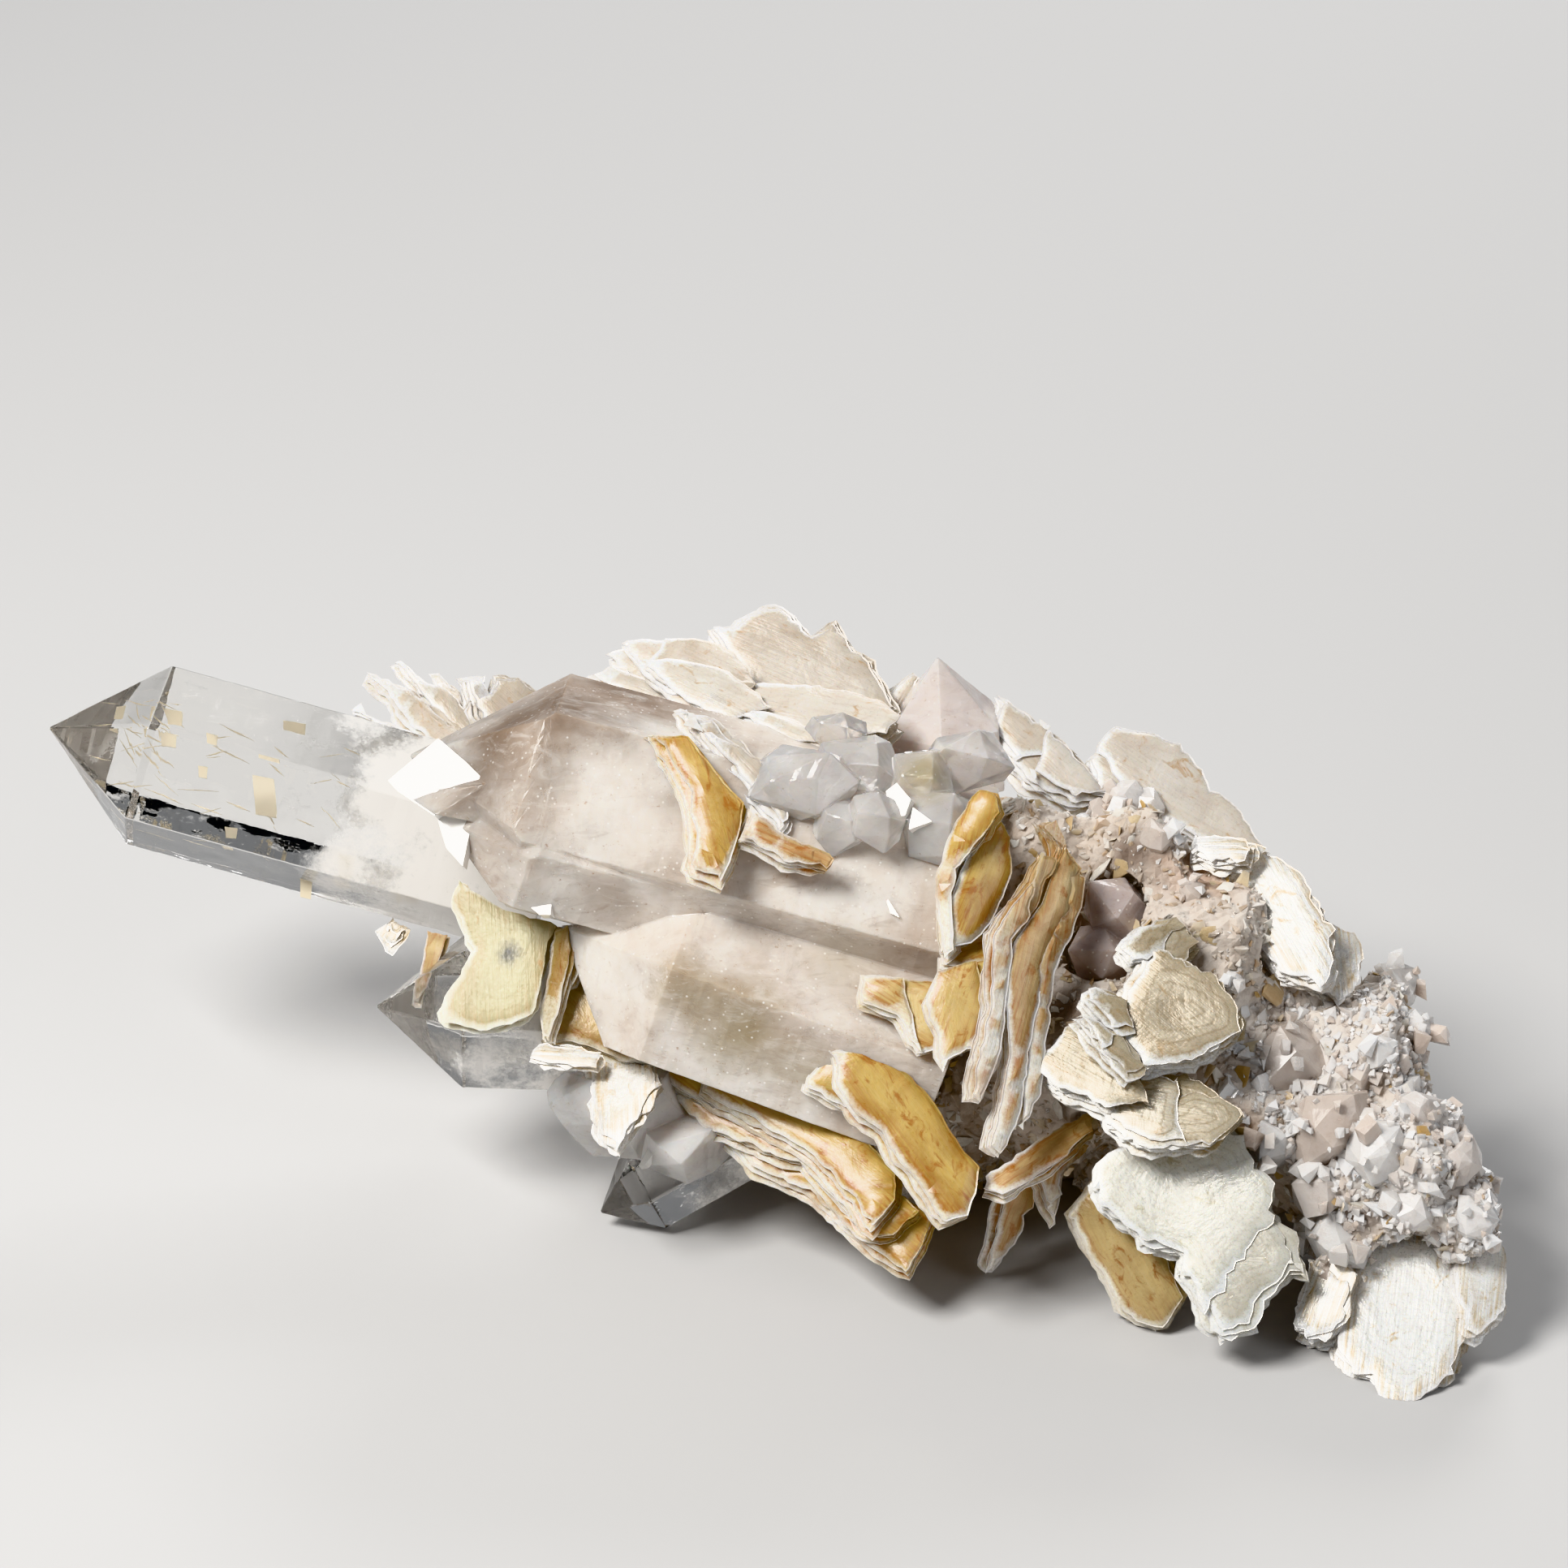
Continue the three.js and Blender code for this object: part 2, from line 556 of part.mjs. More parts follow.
      away: -12.4, facing: [-0.2, 0.45, 0.87], thick: 2.8 },
      { make: 'blade', edge: [82, 135.2, 86, 133, 98, 137, 108, 144, 113, 149, 110, 152, 108, 152.5, 105,
        151.5,
        103, 149, 98, 143.5, 96, 143, 90, 140.5, 86, 139], from: [98, 142], away: -9.4,
      facing: [-0.2, 0.45, 0.87], thick: 2.6 },
      { make: 'blade', edge: [88, 139.7, 94, 138, 104, 142, 114.8, 149.6, 113.5, 153, 111.5, 156.5, 110,
        156.3,
        107, 154.5, 103, 151, 99, 147, 92, 144], from: [98, 142], away: -6.6, facing: [-0.2, 0.45, 0.87],
      thick: 3.2 },
    ],
  },
  mica_dish_plate: {
    finish: 'tanMica',
    shapes: [
      { make: 'blade', edge: [121.2, 144.5, 124.5, 142.5, 129, 139.5, 135, 136.5, 134.5, 139, 130, 143,
        123.5, 147.2, 120.5, 146.5], away: -17, facing: [-0.1, 0.6, 0.8], thick: 2.4, leaves: 2 },
    ],
  },
  mica_hanging_blades: {
    finish: 'tanMica',
    shapes: [
      { make: 'blade', edge: [123.7, 146.5, 128, 144, 127.5, 149, 126.5, 150, 125, 155, 123, 157.9, 122,
        157.8,
        121.2, 157, 122.5, 152], away: -7, facing: [0.35, -0.4, 0.8], thick: 2.2, leaves: 2 },
      { make: 'blade', edge: [127, 144, 128.2, 147.5, 130, 151.5, 130.8, 150.8, 131.5, 145, 134.8, 141,
        131, 140],
        away: -13, facing: [0.3, 0.1, 0.9], thick: 2.2 },
      { make: 'lump', at: [129, 144.5, -9], reach: [5, 4, 6], seed: 29, corners: 16 },
    ],
  },
  mica_brown_blade: {
    finish: 'tanMica',
    shapes: [
      { make: 'blade', edge: [130.7, 150, 132.5, 154, 136.5, 160.5, 137, 162, 139.5, 163.7, 142, 164.5,
        143.5, 164,
        145.8, 160, 144, 155.5, 142, 150, 134, 146], away: -14, facing: [-0.2, -0.1, 0.95], thick: 3,
        leaves: 2 },
    ],
  },
  mica_silver_book: {
    finish: 'silverMica',
    shapes: [
      { make: 'blade', edge: [133.5, 146.5, 134.5, 144, 136.5, 142, 140, 140.5, 146, 139.5, 150, 138,
        153, 140,
        154.5, 144, 156.5, 146, 156.5, 149, 159, 152, 161, 157.5, 159, 157, 157, 159, 155.5, 161, 154.5,
        163.5,
        151.5, 164.8, 150, 165.2, 148, 163.5, 146, 159, 144.2, 157, 144.8, 154.8, 140, 153.3, 135, 149],
      away: -21.6, facing: [-0.15, 0.2, 0.95], thick: 3.6, leaves: 2 },
    ],
  },
  mica_silver_shelf: {
    finish: 'silverMica',
    shapes: [
      { make: 'blade', edge: [135, 134, 135.5, 138.5, 139, 141, 141.5, 141.7, 149, 141, 153, 137, 146, 132,
        138, 132], from: [138, 134], away: -22.6, facing: [-0.15, 0.4, 0.9], thick: 3.4, leaves: 2 },
      { make: 'blade', edge: [126.3, 131.5, 128, 130.2, 130.5, 127, 132, 126.2, 138.5, 131, 142, 136,
        136, 136.8,
        130, 134.5], from: [138, 134], away: -24.6, facing: [-0.15, 0.4, 0.9], thick: 3.4, leaves: 2 },
    ],
  },
  mica_chevron_book: {
    finish: 'silverMica',
    shapes: [
      { make: 'blade', edge: [140.2, 117.5, 141.5, 116.7, 144, 117, 150, 120, 153, 125, 153, 127, 147, 131,
        140.5, 132, 136.5, 127, 138, 121], away: -24, facing: [-0.1, 0.3, 0.95], thick: 4, leaves: 2 },
      { make: 'blade', edge: [132, 125, 134, 124.8, 138, 127, 141.5, 131, 139, 133, 134.5, 128.5],
        away: -26.6,
        facing: [0.1, 0.4, 0.9], thick: 3.2 },
      { make: 'blade', edge: [132.8, 123, 134, 121.5, 136, 121.3, 139, 123, 140, 127, 137.5, 127.6],
        away: -25,
        facing: [0.1, 0.4, 0.9], thick: 3 },
      { make: 'blade', edge: [137.2, 116.8, 140, 113.8, 145, 112.7, 148, 115.8, 145, 118.5, 139, 119],
        away: -21,
        facing: [0, 0.4, 0.9], thick: 3 },
      { make: 'lump', at: [142.5, 122, -19], reach: [6, 6, 5], seed: 31, corners: 12 },
    ],
  },
  mica_ridge_plates: {
    finish: 'tanMica',
    shapes: [
      { make: 'blade', edge: [122.8, 85, 125, 86, 130, 89.5, 133.8, 93, 138, 98, 132, 99, 126, 96, 121.5,
        90],
        away: 3, facing: [0.1, 0.4, 0.9], thick: 4 },
      { make: 'blade', edge: [133.8, 93, 136, 90, 137.5, 89, 142, 90, 145.5, 91.5, 148.5, 94.5, 149.5,
        97, 152, 98.5,
        155.8, 103.5, 157, 105, 152, 106, 146, 103, 140, 100, 134, 97.5], away: 2, facing: [0.1, 0.4, 0.9],
      thick: 4, leaves: 2 },
    ],
  },
  mica_bright_flake: {
    finish: 'silverMica',
    shapes: [
      { make: 'blade', edge: [147, 102, 153, 102.5, 155, 103.5, 154, 106.5, 149, 107, 146, 105.5],
        away: -11,
        facing: [-0.2, 0.4, 0.9], thick: 3.2 },
    ],
  },
  mica_white_book: {
    finish: 'silverMica',
    shapes: [
      { make: 'blade', edge: [155.5, 105.5, 158, 106, 160, 107.5, 163, 112.5, 164, 114.5, 164, 120,
        162.5, 121.5,
        157, 120, 154, 116.5, 149, 111, 153, 105], away: -11.5, facing: [-0.2, 0.4, 0.9], thick: 3.4,
        leaves: 2 },
      { make: 'blade', edge: [162, 111.5, 164, 114, 166.8, 115, 168, 118, 166.5, 122, 165, 123.5, 161.5,
        121],
        away: -9.6, facing: [0.1, 0.3, 0.95], thick: 3.2, leaves: 2 },
    ],
  },
  mica_foot_plates: {
    finish: 'silverMica',
    shapes: [
      { make: 'blade', edge: [163.8, 165, 164.5, 162, 165, 157.5, 168, 152, 178, 152, 181, 159, 180.5,
        164, 179, 169,
        176.5, 171, 173.5, 173.5, 171.5, 173.8, 169, 173.5, 168, 170, 166, 169.5, 164, 167], away: -20.6,
      facing: [-0.1, 0.5, 0.85], thick: 3.6, leaves: 2 },
      { make: 'blade', edge: [161, 155, 159, 161, 158.7, 164, 160.5, 165.2, 163, 165.2, 166, 162, 167,
        156.5,
        164, 154], away: -18.4, facing: [-0.4, 0.3, 0.85], thick: 4.4, leaves: 2 },
      { make: 'blade', edge: [185, 152, 186, 157, 185.5, 161.5, 182, 164.5, 180, 164, 178.5, 158, 179, 152],
        away: -19, facing: [0.1, 0.5, 0.85], thick: 3 },
    ],
  },
};

// The lumps of the crust that everything grows from, each as across, down and away of its middle and
// how far it reaches to the right, up and deep.
const crustLumps = [
  [78, 105, 17, 14, 11, 11],
  [92, 106, 16, 18, 15, 14],
  [84, 126, 14, 14, 12, 10],
  [100, 120, 16, 20, 16, 17],
  [112, 108, 8, 16, 17, 16],
  [112, 136, 12, 20, 14, 17],
  [104, 134, 26, 22, 14, 12],
  [127, 110, 2, 14, 14, 16],
  [130, 128, 0, 18, 18, 20],
  [124, 137, 22, 24, 13, 15],
  [141, 109, 0, 13, 12, 13],
  [148, 118, -4, 15, 15, 16],
  [150, 136, -4, 17, 16, 18],
  [148, 142, 14, 20, 12, 15],
  [156, 126, -1, 12, 11, 12],
  [161, 139, -9, 12, 12, 12],
  [168, 132, -7, 9.5, 11.5, 12],
  [170, 125, -3, 5, 6, 7],
  [172, 144, -14, 12, 11, 12],
  [180, 150, -16, 7, 6.5, 8],
  [168, 146, -4, 14, 11, 12],
];

function crustBody() {
  const lumps = crustLumps.map(([across, down, away, right, up, deep], i) => lump({
    at: [across, down, away],
    reach: [right, up, deep],
    seed: 41 + 2 * i,
    corners: crustCorners,
  }, 0));
  return joined(lumps);
}

// Everything below the resting surface is cut off, so that the cluster stands on flat worn spots.
function belowRest() {
  const block = new THREE.BoxGeometry(groundSide, groundSide, groundDeep);
  block.translate(0, 0, -restBelowMiddle - groundDeep / 2);
  return solidOf(block);
}

// The largest closed shell of a solid, which leaves out chips that a cut has parted from it.
function largestShell(solid) {
  const { vertProperties, triVerts } = solid.getMesh();
  const parent = Array.from({ length: vertProperties.length / 3 }, (_, i) => i);
  const rootOf = (i) => {
    let at = i;
    while (parent[at] !== at) {
      parent[at] = parent[parent[at]];
      at = parent[at];
    }
    return at;
  };
  for (let i = 0; i < triVerts.length; i += 3) {
    parent[rootOf(triVerts[i + 1])] = rootOf(triVerts[i]);
    parent[rootOf(triVerts[i + 2])] = rootOf(triVerts[i]);
  }
  const corner = (i) => new THREE.Vector3().fromArray(vertProperties, triVerts[i] * 3);
  const volumes = new Map();
  for (let i = 0; i < triVerts.length; i += 3) {
    const shell = rootOf(triVerts[i]);
    const volume = corner(i).dot(corner(i + 1).cross(corner(i + 2))) / 6;
    volumes.set(shell, (volumes.get(shell) ?? 0) + volume);
  }
  const [largest] = [...volumes.entries()].sort((a, b) => b[1] - a[1])[0];
  const kept = [];
  for (let i = 0; i < triVerts.length; i += 3) {
    if (rootOf(triVerts[i]) === largest) {
      kept.push(triVerts[i], triVerts[i + 1], triVerts[i + 2]);
    }
  }
  const geometry = new THREE.BufferGeometry();
  geometry.setAttribute('position', new THREE.BufferAttribute(new Float32Array(vertProperties), 3));
  geometry.setIndex(kept);
  return geometry.toNonIndexed();
}

function bodyOf(piece, grow) {
  return joined(piece.shapes.map((shape) => makers[shape.make](shape, grow)));
}

function meshOf(name, geometry, finish) {
  geometry.computeBoundingBox();
  const centre = geometry.boundingBox.getCenter(new THREE.Vector3());
  geometry.translate(-centre.x, -centre.y, -centre.z);
  geometry.computeVertexNormals();
  const material = new THREE.MeshStandardMaterial({ ...finishes[finish], metalness: 0, flatShading: true });
  const mesh = new THREE.Mesh(geometry, material);
  mesh.name = name;
  mesh.position.copy(centre);
  return mesh;
}

// Each piece gives way to the ones before it in the list, and the crust gives way to them all.
const cluster = new THREE.Group();
const underside = belowRest();
let taken = underside;
Object.entries({ ...quartzPieces, ...micaPieces }).forEach(([name, piece]) => {
  const body = bodyOf(piece, 0).subtract(taken);
  cluster.add(meshOf(name, largestShell(body), piece.finish));
  taken = taken.add(bodyOf(piece, touchGap));
});
cluster.add(meshOf('quartz_crust', largestShell(crustBody().subtract(taken)), 'crust'));

// The cluster stands on Z = 0 with the middle of its bounding box over the origin.
const bounds = new THREE.Box3().setFromObject(cluster);
cluster.position.set(
  -(bounds.min.x + bounds.max.x) / 2,
  -(bounds.min.y + bounds.max.y) / 2,
  restBelowMiddle,
);

export default cluster;
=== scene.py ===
import math
import random

import bmesh
import bpy
import numpy as np
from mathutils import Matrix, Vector, noise
from mathutils.bvhtree import BVHTree
from mathutils.geometry import delaunay_2d_cdt


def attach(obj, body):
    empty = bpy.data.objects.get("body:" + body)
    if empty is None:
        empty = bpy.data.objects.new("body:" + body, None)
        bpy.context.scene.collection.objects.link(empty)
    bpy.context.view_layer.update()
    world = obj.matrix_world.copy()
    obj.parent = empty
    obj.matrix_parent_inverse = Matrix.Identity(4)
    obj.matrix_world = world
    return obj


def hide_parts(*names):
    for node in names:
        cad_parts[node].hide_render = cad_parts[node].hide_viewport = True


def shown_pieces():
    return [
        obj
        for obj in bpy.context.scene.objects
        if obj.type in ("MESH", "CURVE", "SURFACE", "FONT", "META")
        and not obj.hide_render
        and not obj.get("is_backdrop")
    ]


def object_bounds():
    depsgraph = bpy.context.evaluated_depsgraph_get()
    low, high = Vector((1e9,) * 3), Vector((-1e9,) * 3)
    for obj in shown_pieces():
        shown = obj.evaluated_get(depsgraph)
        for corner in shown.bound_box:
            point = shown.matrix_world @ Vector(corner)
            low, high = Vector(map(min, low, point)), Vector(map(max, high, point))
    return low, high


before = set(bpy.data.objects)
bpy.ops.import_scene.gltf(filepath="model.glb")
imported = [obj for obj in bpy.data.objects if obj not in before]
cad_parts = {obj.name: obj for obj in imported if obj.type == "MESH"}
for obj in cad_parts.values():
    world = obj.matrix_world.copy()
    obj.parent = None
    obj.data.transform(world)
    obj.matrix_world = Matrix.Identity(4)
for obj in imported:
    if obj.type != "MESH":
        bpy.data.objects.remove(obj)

mm = 0.001
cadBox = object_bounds()

# Front sheet that the pieces are laid out on: mm across, mm down and mm away behind it.
# middle is the sheet's middle in the cluster's own frame.
sheet = {"middle": (2.596, 11.836, 51.6), "side": 193.2, "leanDeg": 30.0, "viewing": 805.0}
leanSin = math.sin(math.radians(sheet["leanDeg"]))
leanCos = math.cos(math.radians(sheet["leanDeg"]))


# A direction, from how far it goes right, up and toward the camera.
def heading(right, up, toward):
    return Vector((right, up * leanSin - toward * leanCos, up * leanCos + toward * leanSin))


# The point of the cluster, in mm, that a place on the sheet shows.
def seen(across, down, away):
    spread = 1 + away / sheet["viewing"]
    right = (across - sheet["side"] / 2) * spread
    up = (sheet["side"] / 2 - down) * spread
    return Vector(sheet["middle"]) + heading(right, up, -away)


# Where the sight line through a place on the sheet meets a plane.
def seenOnPlane(across, down, anchor, normal):
    near = seen(across, down, -60)
    ray = seen(across, down, 60) - near
    return near + ray * ((anchor - near).dot(normal) / ray.dot(normal))


# Shader building: every helper adds a node and returns the socket to plug in.
class Shader:
    def __init__(self, name):
        self.material = bpy.data.materials.new(name)
        self.material.use_nodes = True
        self.tree = self.material.node_tree
        self.surface = self.tree.nodes["Principled BSDF"]
        self.output = self.tree.nodes["Material Output"]

    def plug(self, socket, value):
        if isinstance(value, bpy.types.NodeSocket):
            self.tree.links.new(value, socket)
        elif isinstance(value, (tuple, list)) and len(value) == 3 and socket.type == "RGBA":
            socket.default_value = (*value, 1)
        else:
            socket.default_value = value

    def node(self, kind, inputs, **settings):
        made = self.tree.nodes.new(kind)
        for key, value in settings.items():
            setattr(made, key, value)
        for key, value in inputs.items():
            self.plug(made.inputs[key], value)
        return made

    def attribute(self, name, output="Fac"):
        return self.node("ShaderNodeAttribute", {}, attribute_name=name).outputs[output]

    def place(self):
        return self.node("ShaderNodeTexCoord", {}).outputs["Object"]

    def stretched(self, vector, scale, shift=(0, 0, 0)):
        inputs = {"Vector": vector, "Scale": scale, "Location": shift}
        return self.node("ShaderNodeMapping", inputs).outputs[0]

    def clouds(self, vector, scale, detail=4.0, rough=0.55, warp=0.0):
        made = self.node("ShaderNodeTexNoise", {
            "Vector": vector, "Scale": scale, "Detail": detail, "Roughness": rough, "Distortion": warp})
        return made.outputs["Fac"]

    def cells(self, vector, scale):
        return self.node("ShaderNodeTexVoronoi", {"Vector": vector, "Scale": scale}).outputs["Distance"]

    def spread(self, value, low, high, outLow=0.0, outHigh=1.0):
        made = self.node("ShaderNodeMapRange", {
            "Value": value, "From Min": low, "From Max": high, "To Min": outLow, "To Max": outHigh})
        return made.outputs[0]

    def sums(self, operation, a, b=0.0, c=0.0):
        return self.node("ShaderNodeMath", {0: a, 1: b, 2: c}, operation=operation).outputs[0]

    def mixed(self, factor, a, b):
        made = self.tree.nodes.new("ShaderNodeMix")
        made.data_type = "RGBA"
        self.plug(made.inputs["Factor"], factor)
        self.plug(made.inputs[6], a)
        self.plug(made.inputs[7], b)
        return made.outputs[2]

    # The colour with a tint laid on where value runs from low to high.
    def tinted(self, colour, tint, value, low, high, strength=1.0):
        return self.mixed(self.spread(value, low, high, 0, strength), colour, tint)

    # The colour with a ragged spot of a tint around a point given in mm.
    def spotted(self, colour, tint, at, reach, strength, fineness=260, wander=0.6):
        centre = Vector(at) * mm
        far = self.node("ShaderNodeVectorMath", {0: self.place(), 1: tuple(centre)}, operation="DISTANCE")
        ragged = self.clouds(self.place(), fineness, 3)
        wavy = self.sums("ADD", far.outputs["Value"], self.sums("MULTIPLY", ragged, reach * wander * mm))
        spot = self.spread(wavy, reach * 1.3 * mm, reach * 0.5 * mm)
        return self.mixed(self.sums("MULTIPLY", spot, strength), colour, tint)

    def bump(self, height, strength, distance, below=None):
        inputs = {"Height": height, "Strength": strength, "Distance": distance * mm}
        if below is not None:
            inputs["Normal"] = below
        return self.node("ShaderNodeBump", inputs).outputs[0]

    def finish(self, **inputs):
        for key, value in inputs.items():
            self.plug(self.surface.inputs[key.replace("_", " ")], value)
        return self.material


pieceMaking = {"footGap": 0.02, "sharpDeg": 26}  # mm left above the floor, and where smooth edges turn sharp


# Gives a mesh in millimetres its object, its point values and its place in the cluster. What would
# reach under the floor is cut off and closed.
def makePiece(name, node, points, faces, material, values=None, smooth=False):
    mesh = bpy.data.meshes.new(name)
    mesh.from_pydata((np.asarray(points, dtype=float) * mm).tolist(), [], faces)
    mesh.materials.append(material)
    for key, data in (values or {}).items():
        data = np.asarray(data, dtype=np.float32)
        wide = data.ndim == 2
        kind = "FLOAT_VECTOR" if wide else "FLOAT"
        layer = mesh.attributes.new(key, kind, "POINT")
        layer.data.foreach_set("vector" if wide else "value", data.ravel())
    mesh.validate()
    if min(vert.co.z for vert in mesh.vertices) < 0:
        body = bmesh.new()
        body.from_mesh(mesh)
        everything = list(body.verts) + list(body.edges) + list(body.faces)
        foot = (0, 0, pieceMaking["footGap"] * mm)
        cut = bmesh.ops.bisect_plane(body, geom=everything, plane_co=foot, plane_no=(0, 0, -1),
                                     clear_outer=True)
        rims = [part for part in cut["geom_cut"] if isinstance(part, bmesh.types.BMEdge)]
        bmesh.ops.holes_fill(body, edges=rims)
        body.to_mesh(mesh)
        body.free()
    if smooth:
        mesh.shade_smooth()
        mesh.set_sharp_from_angle(angle=math.radians(pieceMaking["sharpDeg"]))
    mesh.update()
    piece = bpy.data.objects.new(name, mesh)
    bpy.context.scene.collection.objects.link(piece)
    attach(piece, "root")
    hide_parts(node)
    return piece


# Mica: what the books of each kind look like. split is how far a leaf's edge may lie behind its
# neighbour's, ragged how torn the edge is, missing how often a front leaf is broken away, fan how
# many degrees the leaves may spread apart and rounding the share of a leaf's edge that is worn off.
# stained is how little of the leaf is stained, band how strongly the stain follows its edge, grain and
# rings how strong the lines across it and the growth rings are, pearl, glow and gloss its shine.
# edge is the colour of the leaves' pale edges: partly their own colour, partly a painted highlight of the lit
# side.
micaLooks = {
    "golden_mica": {
        "deep": (0.34, 0.185, 0.035), "body": (0.54, 0.375, 0.115), "pale": (0.74, 0.62, 0.35),
        "edge": (0.92, 0.87, 0.78), "stain": (0.33, 0.11, 0.015), "stained": 0.55, "pearl": 0.0, "glow": 0.4,
        "leafThick": 1.0, "rounding": 0.8, "split": 0.4, "ragged": 0.22, "missing": 0.4, "fan": 1.6,
        "rough": 0.3, "grain": 0.16, "rings": 0.06, "band": 0.7, "gloss": 0.3,
    },
    "olive_mica": {
        "deep": (0.29, 0.235, 0.105), "body": (0.46, 0.415, 0.24), "pale": (0.64, 0.605, 0.43),
        "edge": (0.88, 0.86, 0.77), "stain": (0.36, 0.19, 0.05), "stained": 0.62, "pearl": 0.05, "glow": 0.2,
        "leafThick": 0.6, "rounding": 0.4, "split": 0.5, "ragged": 0.3, "missing": 0.3, "fan": 0.8,
        "rough": 0.42, "grain": 0.4, "rings": 0.3, "band": 0.4, "gloss": 0.05,
    },
    "brown_mica": {
        "deep": (0.26, 0.155, 0.04), "body": (0.44, 0.31, 0.12), "pale": (0.66, 0.54, 0.31),
        "edge": (0.88, 0.81, 0.68), "stain": (0.24, 0.075, 0.01), "stained": 0.55, "pearl": 0.05,
        "glow": 0.35, "leafThick": 0.8, "rounding": 0.75, "split": 0.4, "ragged": 0.25, "missing": 0.4,
        "fan": 1.4, "rough": 0.28, "grain": 0.22, "rings": 0.12, "band": 0.45, "gloss": 0.25,
    },
    "cream_mica": {
        "deep": (0.37, 0.29, 0.21), "body": (0.56, 0.49, 0.415), "pale": (0.76, 0.715, 0.665),
        "edge": (0.94, 0.92, 0.89), "stain": (0.42, 0.26, 0.12), "stained": 0.59, "pearl": 0.08, "glow": 0.3,
        "leafThick": 0.6, "rounding": 0.8, "split": 0.9, "ragged": 0.4, "missing": 0.75, "fan": 2.4,
        "rough": 0.28, "grain": 0.3, "rings": 0.12, "band": 0.25, "gloss": 0.3,
    },
    "tan_mica": {
        "deep": (0.34, 0.195, 0.07), "body": (0.59, 0.415, 0.20), "pale": (0.78, 0.66, 0.47),
        "edge": (0.93, 0.88, 0.80), "stain": (0.36, 0.13, 0.025), "stained": 0.54, "pearl": 0.05,
        "glow": 0.35, "leafThick": 0.75, "rounding": 0.8, "split": 0.7, "ragged": 0.32, "missing": 0.55,
        "fan": 2.0, "rough": 0.3, "grain": 0.28, "rings": 0.08, "band": 0.8, "gloss": 0.3,
    },
    "sage_mica": {
        "deep": (0.37, 0.325, 0.245), "body": (0.60, 0.565, 0.485), "pale": (0.83, 0.81, 0.755),
        "edge": (0.93, 0.92, 0.88), "stain": (0.42, 0.36, 0.22), "stained": 0.60, "pearl": 0.2, "glow": 0.25,
        "leafThick": 0.46, "rounding": 0.7, "split": 0.8, "ragged": 0.7, "missing": 0.75, "fan": 1.8,
        "rough": 0.26, "grain": 0.2, "rings": 0.2, "band": 0.25, "gloss": 0.4,
    },
    "smoky_mica": {
        "deep": (0.24, 0.18, 0.10), "body": (0.47, 0.395, 0.28), "pale": (0.73, 0.68, 0.59),
        "edge": (0.93, 0.92, 0.89), "stain": (0.36, 0.24, 0.12), "stained": 0.60, "pearl": 0.2, "glow": 0.25,
        "leafThick": 0.44, "rounding": 0.7, "split": 0.8, "ragged": 0.5, "missing": 0.7, "fan": 1.8,
        "rough": 0.24, "grain": 0.22, "rings": 0.45, "band": 0.4, "gloss": 0.3,
    },
    # silver_mica's pale is partly a painted highlight, raised so that the palest silver books look brilliant.
    "silver_mica": {
        "deep": (0.36, 0.29, 0.20), "body": (0.62, 0.57, 0.49), "pale": (0.89, 0.87, 0.83),
        "edge": (0.94, 0.93, 0.91), "stain": (0.52, 0.34, 0.13), "stained": 0.57, "pearl": 0.3, "glow": 0.2,
        "leafThick": 0.46, "rounding": 0.7, "split": 0.8, "ragged": 0.6, "missing": 0.65, "fan": 1.8,
        "rough": 0.26, "grain": 0.3, "rings": 0.18, "band": 0.7, "gloss": 0.6,
    },
}


# Marks on single pieces: the black speck of the swallowtail book and the brown oval of the white book.
# Each has its place on the sheet, its reach, its colour and its strength.
micaMarks = {
    "olive_mica": [((62.7, 117.5, -6.5), 2.5, (0.03, 0.028, 0.022), 0.95)],
    "silver_mica": [((154.2, 111.5, -11.5), 4.0, (0.20, 0.15, 0.11), 0.85)],
}


